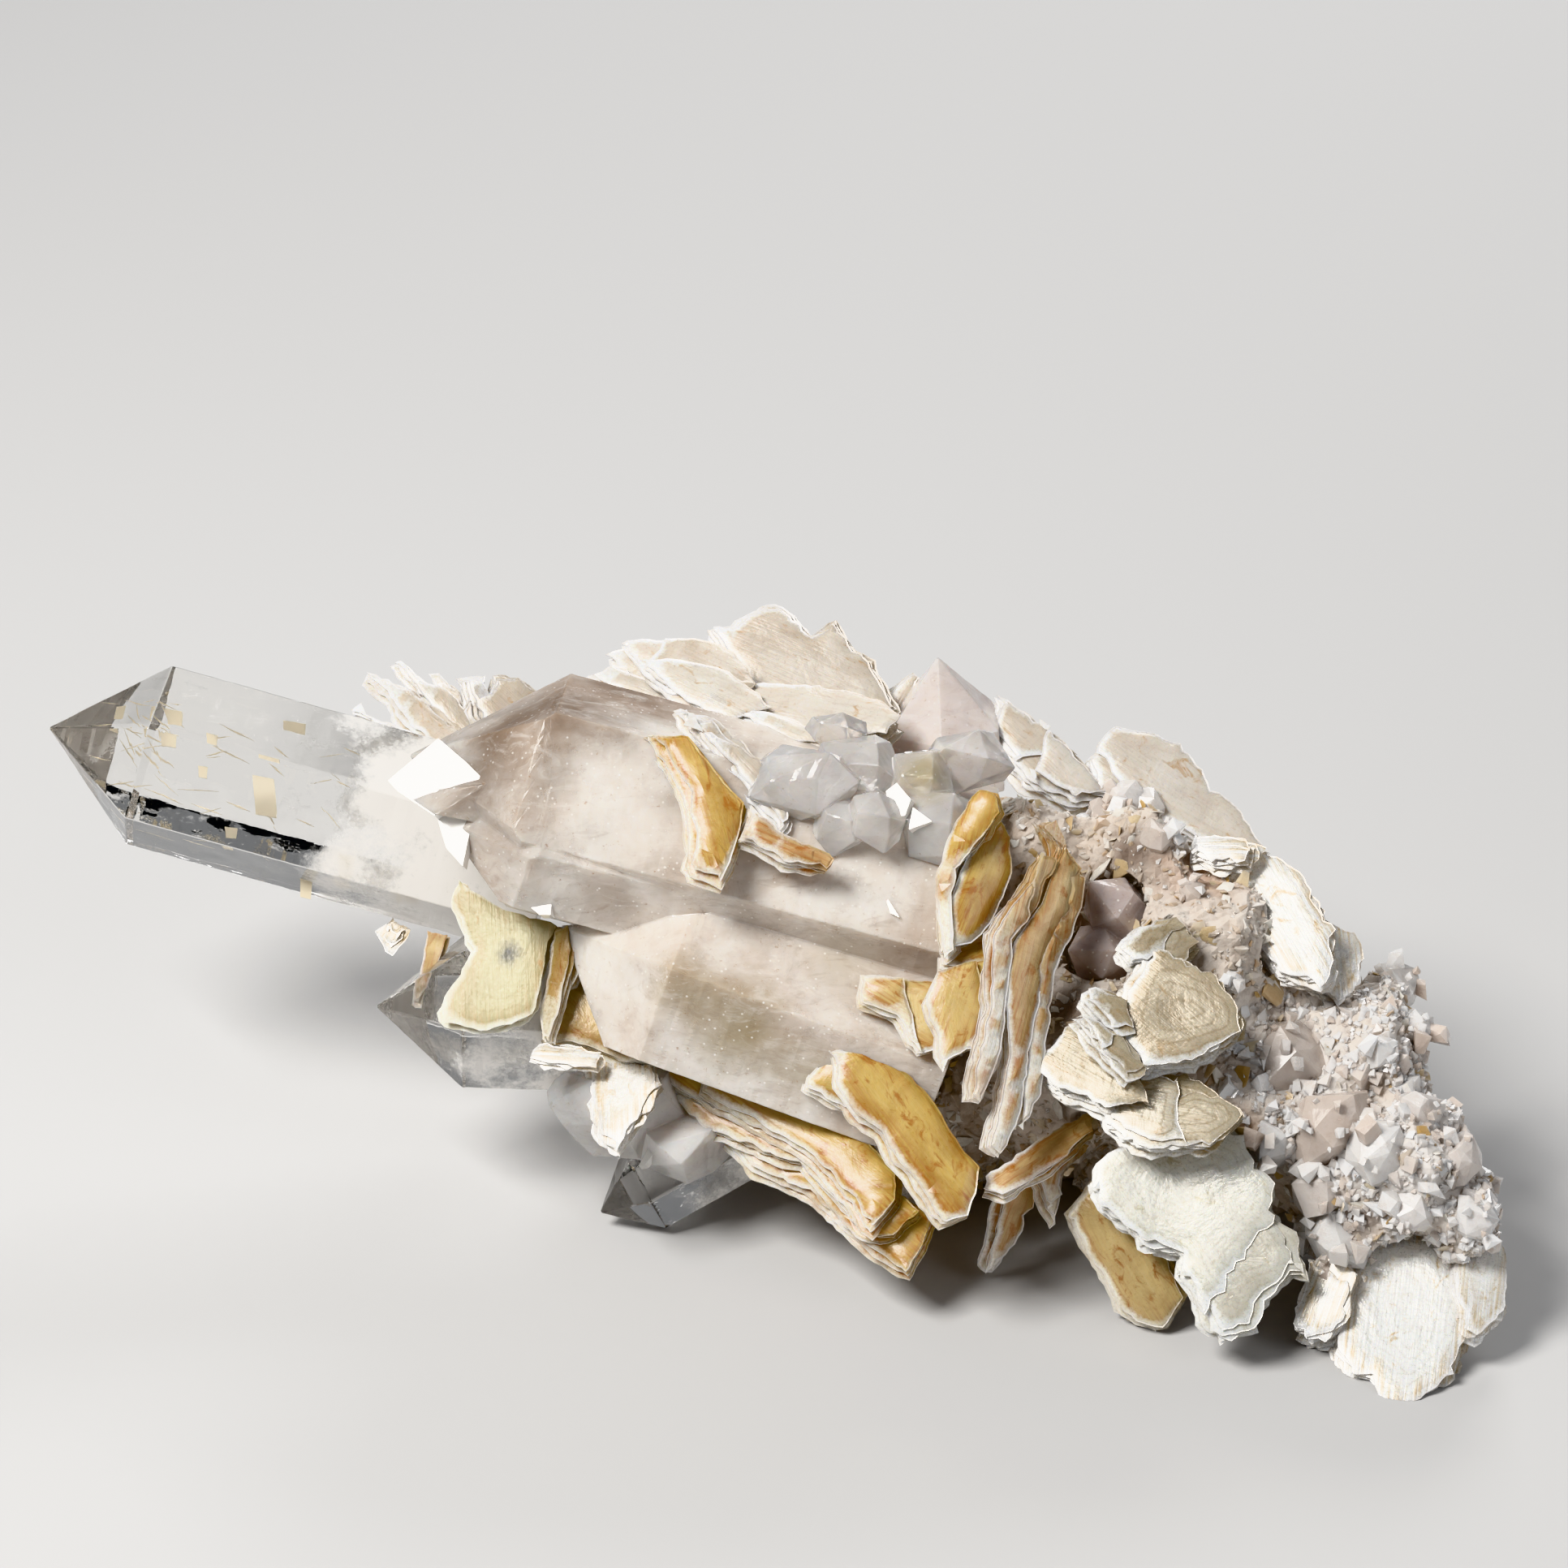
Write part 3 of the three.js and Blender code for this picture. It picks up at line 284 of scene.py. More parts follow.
def micaMaterial(name, look):
    shader = Shader(name)
    book = shader.attribute("bookCo", "Vector")
    rim = shader.attribute("rim")
    tone = shader.attribute("tone")
    lines = shader.clouds(shader.stretched(book, (0.10, 2.6, 0.4)), 1.0, 3, 0.6)
    cross = shader.clouds(shader.stretched(book, (1.9, 0.12, 0.3), (7, 3, 0)), 1.0, 2, 0.5)
    broad = shader.clouds(shader.stretched(book, (0.16, 0.2, 0.6), (3, 9, 0)), 1.0, 5, 0.6, 0.6)
    fine = shader.clouds(book, 2.3, 4, 0.7)
    stain = shader.clouds(shader.stretched(book, (0.3, 0.5, 0.5), (21, 4, 0)), 1.0, 5, 0.65, 1.0)
    growth = shader.sums("SINE", shader.sums("MULTIPLY_ADD", rim, 5.0, shader.sums("MULTIPLY", broad, 9.0)))
    colour = shader.mixed(shader.spread(broad, 0.32, 0.62), look["deep"], look["body"])
    colour = shader.tinted(colour, look["pale"], tone, 0.35, 1.0)
    colour = shader.tinted(colour, look["pale"], lines, 0.35, 0.7, look["grain"])
    colour = shader.tinted(colour, look["deep"], cross, 0.55, 0.75, look["grain"] * 0.7)
    colour = shader.tinted(colour, look["deep"], growth, 0.55, 0.95, look["rings"])
    colour = shader.tinted(colour, look["stain"], stain, look["stained"], look["stained"] + 0.1, 0.75)
    for at, reach, tint, strength in micaMarks.get(name, []):
        colour = shader.spotted(colour, tint, seen(*at), reach, strength, 1300, 0.9)
    streaks = shader.spread(lines, 0.42, 0.6, 0, look["band"])
    band = shader.sums("MULTIPLY", shader.spread(rim, 2.8, 0.7), streaks)
    colour = shader.mixed(band, colour, look["stain"])
    # The pale edge colour is partly the leaves' own paler edges and partly a painted highlight, widest on the
    # lower left where the light falls.
    edge = shader.sums("SUBTRACT", rim, shader.spread(fine, 0.3, 0.7, -0.12, 0.2))
    wornAndLitRim = shader.spread(broad, 0.3, 0.55, 0.35, 0.95)
    colour = shader.mixed(shader.sums("MULTIPLY", shader.spread(edge, 0.75, 0.1), wornAndLitRim), colour, look["edge"])
    rough = shader.spread(fine, 0.25, 0.75, look["rough"] - 0.1, look["rough"] + 0.22)
    relief = shader.bump(lines, look["grain"], 0.25)
    relief = shader.bump(broad, 0.4, 0.8, relief)
    relief = shader.bump(fine, 0.1, 0.12, relief)
    return shader.finish(
        Base_Color=colour, Roughness=rough, Normal=relief, IOR=1.58, Metallic=look["pearl"],
        Subsurface_Weight=look["glow"], Subsurface_Radius=(1.0, 0.55, 0.25), Subsurface_Scale=2.0 * mm,
        Coat_Weight=look["gloss"], Coat_Roughness=0.18)


def middleOf(spots):
    return sum(s[0] for s in spots) / len(spots), sum(s[1] for s in spots) / len(spots)


# One blade: how far away its plane lies at the outline's middle or at its hinge, where the plane faces
# (right, up, toward), how thick it is, its outline on the sheet, and the hinge there if it has one.
def blade(away, facing, thick, edge, hinge=None):
    return {"away": away, "facing": facing, "thick": thick, "edge": edge, "hinge": hinge or middleOf(edge)}


# Each mica piece as its blades.
micaBooks = {
    "mica_rosette_left": {"slot": "tan_mica", "blades": [
        blade(23, (-0.3, 0.5, 0.8), 1.6, [(42.8, 86.6), (48.6, 88.9), (54, 90.5), (60, 95), (54, 97),
            (46, 90.5)]),
        blade(25, (-0.2, 0.6, 0.75), 1.8, [(44.1, 83.5), (45, 82), (46.5, 82.8), (51, 84.5), (56, 88.5),
            (61, 94), (55, 95), (48.5, 88.8), (47, 86.2)]),
        blade(27, (0.1, 0.5, 0.85), 1.6, [(48, 81.3), (49.5, 81), (53, 83.8), (56, 85.2), (61, 90),
            (60, 95), (54.5, 89), (50, 84)]),
        blade(29, (-0.3, 0.3, 0.9), 1.6, [(52.8, 83), (53.8, 82.8), (56, 85), (60, 90), (56, 90)]),
        blade(27, (0.2, 0.3, 0.9), 2.6, [(56.6, 83.2), (60, 82.9), (60.3, 84.8), (60.8, 82.9), (64, 83),
            (67.5, 85.2), (70, 90), (64, 94), (59, 91)]),
        blade(25, (-0.6, 0.2, 0.75), 1.6, [(56, 88), (57.5, 85), (59, 88), (61, 93), (58, 94)]),
    ]},
    "mica_flake_left": {"slot": "silver_mica", "blades": [
        blade(14.5, (-0.2, 0.2, 0.95), 1.2, [(46.3, 114.6), (47, 116.3), (48, 117.1), (49.5, 115.6),
            (50.2, 114.4), (48.2, 112.8)]),
    ]},
    "mica_blade_left": {"slot": "tan_mica", "blades": [
        blade(3.5, (-0.4, 0.5, 0.75), 1, [(52.5, 114.5), (55, 115), (53.2, 121), (51.8, 123.7),
            (50.7, 123.5), (51.5, 120)]),
    ]},
    "mica_swallowtail": {"slot": "golden_mica", "blades": [
        blade(-6.5, (-0.15, 0.25, 0.95), 1.8, [(56.5, 108.5), (55.2, 110.8), (57, 116), (57.8, 117),
            (56.5, 120), (54.5, 122.5), (53.8, 124.5), (54.5, 126.2), (59, 127.2), (62, 126.5),
            (64.8, 125.5), (66, 124), (67.5, 116), (68.5, 114), (62, 112), (58.5, 110)]),
    ]},
    "mica_golden_plate": {"slot": "golden_mica", "blades": [
        blade(-5.5, (-0.1, 0.3, 0.95), 2.4, [(68.3, 114), (67.5, 120), (65.8, 127), (66.8, 128.5),
            (72, 129), (76, 131), (80, 131), (82.5, 127), (80, 121), (74, 115)]),
        blade(-8, (-0.5, 0.1, 0.85), 1.8, [(67.8, 114.5), (69.8, 113.8), (70.3, 117), (68.8, 124),
            (67.5, 128.5), (66.3, 128.2), (65.8, 125), (67, 119)]),
        blade(-7.4, (-0.3, 0.1, 0.95), 1.6, [(71.2, 116.5), (70, 119), (69, 122.5), (70.5, 121.5),
            (72.5, 118), (73, 117)]),
    ]},
    "mica_white_plate": {"slot": "silver_mica", "blades": [
        blade(-8.6, (-0.3, 0.45, 0.85), 2.2, [(71.2, 129.3), (80, 131), (81.2, 133.5), (78, 138.5),
            (75.8, 141.8), (74, 140.8), (72.7, 139.5), (72.2, 135)]),
        blade(-8, (-0.1, 0.5, 0.85), 1.4, [(65.2, 130.2), (66.5, 128.5), (74, 129.5), (73.5, 131.6),
            (67, 131)]),
    ]},
    "mica_rosette_top": {"slot": "silver_mica", "blades": [
        blade(8, (-0.2, 0.5, 0.85), 1.6, [(74.5, 80.5), (77, 79.8), (80, 81.5), (84, 86), (78, 85)]),
        blade(5.5, (-0.1, 0.6, 0.8), 1.8, [(71.8, 82.8), (75.5, 81.3), (80, 83), (85, 87), (78, 87),
            (73, 84.5)]),
        blade(3, (-0.1, 0.6, 0.8), 2, [(76.2, 78.5), (80, 78), (87, 78.8), (90.5, 80), (93, 84), (90, 88),
            (85, 86), (80.5, 84), (78.5, 81.5)]),
        blade(0.5, (-0.1, 0.6, 0.8), 1.8, [(78.5, 81), (84, 80.8), (90, 82.5), (95, 87), (90, 89), (85, 87),
            (81.5, 84.4)]),
        blade(7, (0, 0.4, 0.9), 4, [(86.8, 78), (87, 77), (88.5, 76.5), (90, 76.5), (92, 75.2),
            (94.5, 74.1), (96.5, 74.2), (98, 75.2), (100, 77.8), (102.2, 76.2), (103, 76), (105, 79),
            (107.5, 81), (110.8, 87), (106, 90), (96, 88), (90, 84)]),
        blade(7, (0.5, 0.3, 0.8), 2, [(105, 79.6), (107, 81), (110.5, 85), (111.2, 88), (108, 88)]),
        blade(9, (0, 0.2, 0.95), 2, [(109, 85), (111.5, 83), (112.5, 82.6), (113.5, 83.2), (113, 88),
            (108, 89)]),
        blade(-1, (-0.1, 0.6, 0.8), 4, [(86.8, 82.3), (90.5, 84.5), (95, 83.8), (100, 84.2), (104, 84.8),
            (108, 86), (110.8, 88), (109, 90), (105, 91), (99, 90.5), (94, 89), (90, 87), (88, 85)]),
        blade(-4, (-0.1, 0.6, 0.8), 2.4, [(86, 85.5), (90, 86.5), (95, 87), (101, 89), (104, 92), (97, 92),
            (90, 88.5)]),
    ]},
    "mica_books_upper": {"slot": "tan_mica", "blades": [
        blade(-17.6, (0.1, 0.35, 0.9), 3, [(83, 87), (84, 86.6), (88, 88), (92, 91), (95.5, 95), (97, 98),
            (98, 101), (96, 103), (92, 98.5), (90, 96), (88, 94), (85, 90.5)]),
    ]},
    "mica_book_golden": {"slot": "golden_mica", "blades": [
        blade(-22.4, (0.1, 0.4, 0.9), 3.4, [(79.2, 90), (85, 90.2), (88, 94), (92, 98.5), (91.5, 102),
            (90.5, 106), (89, 108.8), (85, 107.5), (84.3, 106), (84.8, 104), (84, 97.5), (81.5, 93)]),
    ]},
    "mica_book_lower": {"slot": "tan_mica", "blades": [
        blade(-23.6, (0.1, 0.3, 0.95), 3, [(91.8, 101), (92.5, 99), (96, 102), (99, 103.5), (103, 105.5),
            (102, 107), (96.5, 106.5), (92.5, 104), (90.5, 103.5)]),
    ]},
    "mica_upright_left": {"slot": "golden_mica", "blades": [
        blade(-22.4, (-0.3, 0.1, 0.9), 3, [(120.5, 97.2), (122.2, 97.5), (123, 100), (121, 103),
            (117.6, 107), (117, 112), (117.5, 117), (115.8, 118.6), (115, 115), (114.5, 110.5),
            (114.7, 108), (115.5, 105), (117, 101.5), (119.5, 98)]),
        blade(-20.6, (0.3, 0.1, 0.9), 2.6, [(123.5, 101), (125, 103), (125, 107.5), (124, 110.5),
            (122.5, 114), (120, 116.5), (116.5, 117.5), (116.2, 112), (118, 107), (120.5, 103.5)]),
        blade(-19.5, (0, 0.5, 0.85), 2, [(115.6, 115), (120, 114.6), (123, 114.8), (122.5, 118.5),
            (118.5, 119.5), (115.6, 119)]),
    ]},
    "mica_upright_books": {"slot": "tan_mica", "blades": [
        blade(-24.5, (0.45, 0.05, 0.9), 1.8, [(128.5, 105), (127, 108.5), (123.5, 113), (122.2, 115),
            (121.7, 120), (121.8, 124), (120.5, 129), (119.3, 135.8), (121, 136), (123.5, 131),
            (124.5, 124), (125.5, 116), (128.5, 111), (130.5, 106)]),
        blade(-23, (0.5, 0.05, 0.87), 2, [(131.5, 104), (128, 112), (125, 116), (124, 119), (123.8, 123),
            (124.3, 130), (123, 137), (121.8, 141.5), (123.5, 142.7), (126, 137), (127.6, 126), (129, 118),
            (132, 112), (133.5, 107)]),
        blade(-21, (0.5, 0.05, 0.87), 3.4, [(128.8, 101), (131.5, 103.4), (134.5, 108), (134, 112),
            (131, 120), (130, 126), (129, 135), (127.5, 138), (125, 140), (126, 128), (126.6, 119),
            (130, 112), (130.5, 105)]),
    ]},
    "mica_yellow_plates": {"slot": "golden_mica", "blades": [
        blade(-24.5, (0, 0.2, 0.95), 2.4, [(115.5, 119.5), (119, 118.5), (121.5, 118), (122, 120),
            (121.5, 125), (120, 129), (116.8, 130.5), (116.2, 131.8), (115, 130), (115, 127.5),
            (114, 125.5), (113.5, 123.5), (114.5, 121.5)]),
        blade(-22.4, (-0.1, 0.2, 0.95), 2.6, [(105.8, 119.8), (110, 120), (115, 120.8), (118, 124),
            (116, 129), (112.8, 129.7), (111.5, 128.5), (110, 125.5), (105.5, 123.8), (105.2, 122.5)]),
    ]},
    "mica_tongue": {"slot": "golden_mica", "blades": [
        blade(-21, (0.1, 0.2, 0.97), 3, [(102, 129.3), (106, 128.5), (109.5, 130.3), (112, 132), (115, 135),
            (118.5, 141), (121, 143.5), (120.5, 147), (119.5, 149.8), (116, 151.2), (114.5, 150),
            (111.5, 145), (109.5, 143), (108, 140), (105, 138), (102.2, 134)]),
        blade(-18.4, (-0.1, 0.2, 0.97), 2.6, [(98.5, 134), (99, 132.5), (102, 129), (107, 130), (108, 136),
            (104, 137), (99, 134.5)]),
    ]},
    "mica_lower_books": {"slot": "golden_mica", "blades": [
        blade(-10.6, (-0.2, 0.45, 0.87), 2.6, [(79.7, 129.7), (81.8, 126.5), (85, 128.5), (89, 131),
            (92, 136), (87.5, 137), (83.5, 135), (81.5, 134), (80, 132)], (98, 142)),
        blade(-12.4, (-0.2, 0.45, 0.87), 2.8, [(85.2, 134.5), (86, 130.7), (90, 132), (98, 135), (106, 139),
            (110.5, 144), (110.5, 147.5), (109.5, 149), (107, 151.8), (105.5, 151), (104, 148),
            (100, 143.5), (97.5, 141.5), (93, 139), (87, 136)], (98, 142)),
        blade(-9.4, (-0.2, 0.45, 0.87), 2.6, [(82, 135.2), (86, 133), (98, 137), (108, 144), (113, 149),
            (110, 152), (108, 152.5), (105, 151.5), (103, 149), (98, 143.5), (96, 143), (90, 140.5),
            (86, 139)], (98, 142)),
        blade(-6.6, (-0.2, 0.45, 0.87), 3.2, [(88, 139.7), (94, 138), (104, 142), (114.8, 149.6),
            (113.5, 153), (111.5, 156.5), (110, 156.3), (107, 154.5), (103, 151), (99, 147),
            (92, 144)], (98, 142)),
    ]},
    "mica_dish_plate": {"slot": "tan_mica", "blades": [
        blade(-17, (-0.1, 0.6, 0.8), 2.4, [(121.2, 144.5), (124.5, 142.5), (129, 139.5), (135, 136.5),
            (134.5, 139), (130, 143), (123.5, 147.2), (120.5, 146.5)]),
    ]},
    "mica_hanging_blades": {"slot": "tan_mica", "blades": [
        blade(-7, (0.35, -0.4, 0.8), 2.2, [(123.7, 146.5), (128, 144), (127.5, 149), (126.5, 150),
            (125, 155), (123, 157.9), (122, 157.8), (121.2, 157), (122.5, 152)]),
        blade(-13, (0.3, 0.1, 0.9), 2.2, [(127, 144), (128.2, 147.5), (130, 151.5), (130.8, 150.8),
            (131.5, 145), (134.8, 141), (131, 140)]),
    ]},
    "mica_brown_blade": {"slot": "tan_mica", "blades": [
        blade(-14, (-0.2, -0.1, 0.95), 3, [(130.7, 150), (132.5, 154), (136.5, 160.5), (137, 162),
            (139.5, 163.7), (142, 164.5), (143.5, 164), (145.8, 160), (144, 155.5), (142, 150),
            (134, 146)]),
    ]},
    "mica_silver_book": {"slot": "silver_mica", "blades": [
        blade(-21.6, (-0.15, 0.2, 0.95), 3.6, [(133.5, 146.5), (134.5, 144), (136.5, 142), (140, 140.5),
            (146, 139.5), (150, 138), (153, 140), (154.5, 144), (156.5, 146), (156.5, 149), (159, 152),
            (161, 157.5), (159, 157), (157, 159), (155.5, 161), (154.5, 163.5), (151.5, 164.8),
            (150, 165.2), (148, 163.5), (146, 159), (144.2, 157), (144.8, 154.8), (140, 153.3),
            (135, 149)]),
    ]},
    "mica_silver_shelf": {"slot": "silver_mica", "blades": [
        blade(-22.6, (-0.15, 0.4, 0.9), 3.4, [(135, 134), (135.5, 138.5), (139, 141), (141.5, 141.7),
            (149, 141), (153, 137), (146, 132), (138, 132)], (138, 134)),
        blade(-24.6, (-0.15, 0.4, 0.9), 3.4, [(126.3, 131.5), (128, 130.2), (130.5, 127), (132, 126.2),
            (138.5, 131), (142, 136), (136, 136.8), (130, 134.5)], (138, 134)),
    ]},
    "mica_chevron_book": {"slot": "silver_mica", "blades": [
        blade(-24, (-0.1, 0.3, 0.95), 4, [(140.2, 117.5), (141.5, 116.7), (144, 117), (150, 120),
            (153, 125), (153, 127), (147, 131), (140.5, 132), (136.5, 127), (138, 121)]),
        blade(-26.6, (0.1, 0.4, 0.9), 3.2, [(132, 125), (134, 124.8), (138, 127), (141.5, 131), (139, 133),
            (134.5, 128.5)]),
        blade(-25, (0.1, 0.4, 0.9), 3, [(132.8, 123), (134, 121.5), (136, 121.3), (139, 123), (140, 127),
            (137.5, 127.6)]),
        blade(-21, (0, 0.4, 0.9), 3, [(137.2, 116.8), (140, 113.8), (145, 112.7), (148, 115.8),
            (145, 118.5), (139, 119)]),
    ]},
    "mica_ridge_plates": {"slot": "tan_mica", "blades": [
        blade(3, (0.1, 0.4, 0.9), 4, [(122.8, 85), (125, 86), (130, 89.5), (133.8, 93), (138, 98),
            (132, 99), (126, 96), (121.5, 90)]),
        blade(2, (0.1, 0.4, 0.9), 4, [(133.8, 93), (136, 90), (137.5, 89), (142, 90), (145.5, 91.5),
            (148.5, 94.5), (149.5, 97), (152, 98.5), (155.8, 103.5), (157, 105), (152, 106), (146, 103),
            (140, 100), (134, 97.5)]),
    ]},
    "mica_bright_flake": {"slot": "silver_mica", "blades": [
        blade(-11, (-0.2, 0.4, 0.9), 3.2, [(147, 102), (153, 102.5), (155, 103.5), (154, 106.5), (149, 107),
            (146, 105.5)]),
    ]},
    "mica_white_book": {"slot": "silver_mica", "blades": [
        blade(-11.5, (-0.2, 0.4, 0.9), 3.4, [(155.5, 105.5), (158, 106), (160, 107.5), (163, 112.5),
            (164, 114.5), (164, 120), (162.5, 121.5), (157, 120), (154, 116.5), (149, 111), (153, 105)]),
        blade(-9.6, (0.1, 0.3, 0.95), 3.2, [(162, 111.5), (164, 114), (166.8, 115), (168, 118),
            (166.5, 122), (165, 123.5), (161.5, 121)]),
    ]},
    "mica_foot_plates": {"slot": "silver_mica", "blades": [
        blade(-20.6, (-0.1, 0.5, 0.85), 3.6, [(163.8, 165), (164.5, 162), (165, 157.5), (168, 152),
            (178, 152), (181, 159), (180.5, 164), (179, 169), (176.5, 171), (173.5, 173.5), (171.5, 173.8),
            (169, 173.5), (168, 170), (166, 169.5), (164, 167)]),
        blade(-18.4, (-0.4, 0.3, 0.85), 4.4, [(161, 155), (159, 161), (158.7, 164), (160.5, 165.2),
            (163, 165.2), (166, 162), (167, 156.5), (164, 154)]),
        blade(-19, (0.1, 0.5, 0.85), 3, [(185, 152), (186, 157), (185.5, 161.5), (182, 164.5), (180, 164),
            (178.5, 158), (179, 152)]),
    ]},
}

# Pieces whose mica looks unlike the rest of their kind.
bookLooks = {
    "mica_swallowtail": "olive_mica", "mica_golden_plate": "brown_mica", "mica_brown_blade": "brown_mica",
    "mica_rosette_top": "cream_mica", "mica_rosette_left": "cream_mica", "mica_ridge_plates": "cream_mica",
    "mica_books_upper": "cream_mica",
    "mica_silver_book": "sage_mica", "mica_chevron_book": "smoky_mica", "mica_silver_shelf": "smoky_mica",
}

# Books with a shade of their own: tone 0 is deep, 1 is pale, and all others have plainTone.
plainTone = 0.45
bookTones = {
    # The palest tones, of the white plate, white book, foot plates and bright flake, are partly a painted
    # highlight: the lamp's bright reflection on silver mica laid into their colour.
    "mica_white_plate": 0.95, "mica_white_book": 0.85, "mica_foot_plates": 0.9, "mica_bright_flake": 0.95,
    "mica_rosette_left": 0.1, "mica_swallowtail": 0.3, "mica_silver_book": 0.5, "mica_chevron_book": 0.35,
    "mica_upright_books": 0.4, "mica_tongue": 0.2, "mica_lower_books": 0.15, "mica_golden_plate": 0.15,
    "mica_book_golden": 0.1, "mica_ridge_plates": 0.6, "mica_silver_shelf": 0.5,
}

# Books whose front leaves are all whole and lie closely on each other.
wholeBooks = ("mica_white_book", "mica_swallowtail", "mica_white_plate", "mica_brown_blade")
wholeLook = {"missing": 0, "split": 0.3}


# The outline with a point at every step along it.
def alongEdge(outline, step):
    points = []
    for start, end in zip(outline, outline[1:] + outline[:1]):
        count = max(1, round((end - start).length / step))
        points += [start.lerp(end, k / count) for k in range(count)]
    return points


# The part of an outline that lies on one side of a line.
def clipped(outline, through, across):
    kept = []
    for start, end in zip(outline, outline[1:] + outline[:1]):
        a = (start - through).dot(across)
        b = (end - through).dot(across)
        if a >= 0:
            kept.append(start)
        if a * b < 0:
            kept.append(start.lerp(end, a / (a - b)))
    return kept


# How a leaf's edge is torn, by wide and close waves and by notches: how finely each changes along the
# edge, and how much the last two count beside the first.
tearing = {"wide": 0.35, "close": 1.7, "notch": 0.7, "closeShare": 0.5, "notchShare": 0.6}


# The outline torn a little; on the side that back points to, it also stands back by shingle.
def tornEdge(outline, inset, ragged, seed, back, shingle):
    area = sum(a.x * b.y - b.x * a.y for a, b in zip(outline, outline[1:] + outline[:1]))
    turn = 1 if area > 0 else -1
    torn = []
    for i, spot in enumerate(outline):
        side = (outline[(i + 1) % len(outline)] - outline[i - 1]).normalized()
        out = Vector((side.y, -side.x)) * turn
        wide = noise.noise(Vector((spot.x * tearing["wide"], spot.y * tearing["wide"], seed)))
        close = noise.noise(Vector((spot.x * tearing["close"], spot.y * tearing["close"], seed + 5)))
        notch = noise.cell(Vector((spot.x * tearing["notch"], spot.y * tearing["notch"], seed + 9)))
        tear = wide + tearing["closeShare"] * close - tearing["notchShare"] * notch
        away = inset + shingle * max(0, out.dot(back)) * (0.7 + 0.6 * wide)
        torn.append(spot + out * (ragged * tear - away))
    return torn


# Which of many flat spots lie inside an outline.
def insideOf(spots, ring):
    inside = np.zeros(len(spots), dtype=bool)
    for start, end in zip(ring, np.roll(ring, -1, axis=0)):
        crossing = (start[1] > spots[:, 1]) != (end[1] > spots[:, 1])
        slope = (end[0] - start[0]) / (end[1] - start[1] + 1e-12)
        inside ^= crossing & (spots[:, 0] < start[0] + slope * (spots[:, 1] - start[1]))
    return inside


# How finely a leaf is divided, in mm: the step along its edge, the inner ring's distance from the edge,
# the room kept between points, the grid's steps on the two front leaves and on the ones behind them,
# and how far in the edge is rounded.
leafGrid = {"edge": 0.9, "inner": 0.42, "innerRoom": 0.33, "room": 0.8, "front": 1.5, "behind": 3.0,
            "roundedOver": 0.5}


# How far each spot lies from the nearest of some others.
def farFrom(spots, others):
    return np.sqrt(((spots[:, None] - others[None]) ** 2).sum(2)).min(1)


# The spots that fill a leaf: an inner ring close to its edge, and a grid over the rest.
def fillingOf(ring, gridStep):
    sides = np.roll(ring, -1, axis=0) - np.roll(ring, 1, axis=0)
    sides /= np.linalg.norm(sides, axis=1)[:, None] + 1e-9
    twiceArea = (ring[:, 0] * np.roll(ring[:, 1], -1) - np.roll(ring[:, 0], -1) * ring[:, 1]).sum()
    inner = ring + np.column_stack([-sides[:, 1], sides[:, 0]]) * np.sign(twiceArea) * leafGrid["inner"]
    low = ring.min(0) + leafGrid["room"] / 2
    high = ring.max(0)
    grid = np.array([(x + 0.4 * gridStep * (j % 2), y)
                     for j, y in enumerate(np.arange(low[1], high[1], gridStep))
                     for x in np.arange(low[0], high[0], gridStep)]).reshape(-1, 2)
    inner = inner[farFrom(inner, ring) > leafGrid["innerRoom"]]
    both = np.vstack([inner, grid[farFrom(grid, ring) > leafGrid["room"]]])
    return both[insideOf(both, ring)]


# One closed leaf: the outline filled with points, bent, and given a back and walls. Its edge is
# rounded off by rounding, and the inner ring of points keeps that rounding narrow.
def leafBody(outline, gridStep, height, thick, rounding, bend):
    ring = np.array([(p.x, p.y) for p in outline])
    count = len(ring)
    loop = [(i, (i + 1) % count) for i in range(count)]
    inside = [Vector(p) for p in fillingOf(ring, gridStep)]
    filled = delaunay_2d_cdt(outline + inside, loop, [], 0, 1e-4)
    flat = np.array([(p.x, p.y) for p in filled[0]])
    faces = np.array(filled[2])
    faces = faces[insideOf(flat[faces].mean(1), ring)]
    used, faces = np.unique(faces, return_inverse=True)
    flat, faces = flat[used], faces.reshape(-1, 3)
    sides = np.vstack([faces[:, [0, 1]], faces[:, [1, 2]], faces[:, [2, 0]]])
    known = set(map(tuple, sides.tolist()))
    border = [(a, b) for a, b in known if (b, a) not in known]
    lift = np.array([height + bend(x, y) for x, y in flat])
    rim = farFrom(flat, flat[[a for a, b in border]])
    shift = len(flat)
    fall = np.exp(-((rim / leafGrid["roundedOver"]) ** 2)) * rounding * thick
    front = np.column_stack([flat, lift - fall])
    back = np.column_stack([flat, lift - thick + 0.6 * fall])
    allFaces = faces.tolist() + (faces[:, ::-1] + shift).tolist()
    allFaces += [(b, a, a + shift, b + shift) for a, b in sorted(border)]
    return np.vstack([front, back]), allFaces, np.concatenate([rim, rim])


# A leaf's outline with a part broken away along one of its sides.
def brokenOutline(flat, centre, size, chance):
    start = chance.randrange(len(flat))
    along = (flat[(start + 1) % len(flat)] - flat[start]).normalized()
    side = Vector((along.y, -along.x)) * chance.choice((-1, 1))
    through = Vector(centre) - side * size * chance.uniform(0.1, 0.8)
    cut = clipped(flat, through, side)
    return cut if len(cut) > 3 else flat


# A blade's plane and the outline on it: the plane's anchor, its two directions and its normal.
def laidFlat(blade):
    normal = heading(*blade["facing"]).normalized()
    anchor = seen(*blade["hinge"], blade["away"])
    across = (Vector((1, 0, 0)) - normal * normal.x).normalized()
    up = normal.cross(across)
    offsets = [seenOnPlane(*spot, anchor, normal) - anchor for spot in blade["edge"]]
    return anchor, across, up, normal, [Vector((p.dot(across), p.dot(up))) for p in offsets]


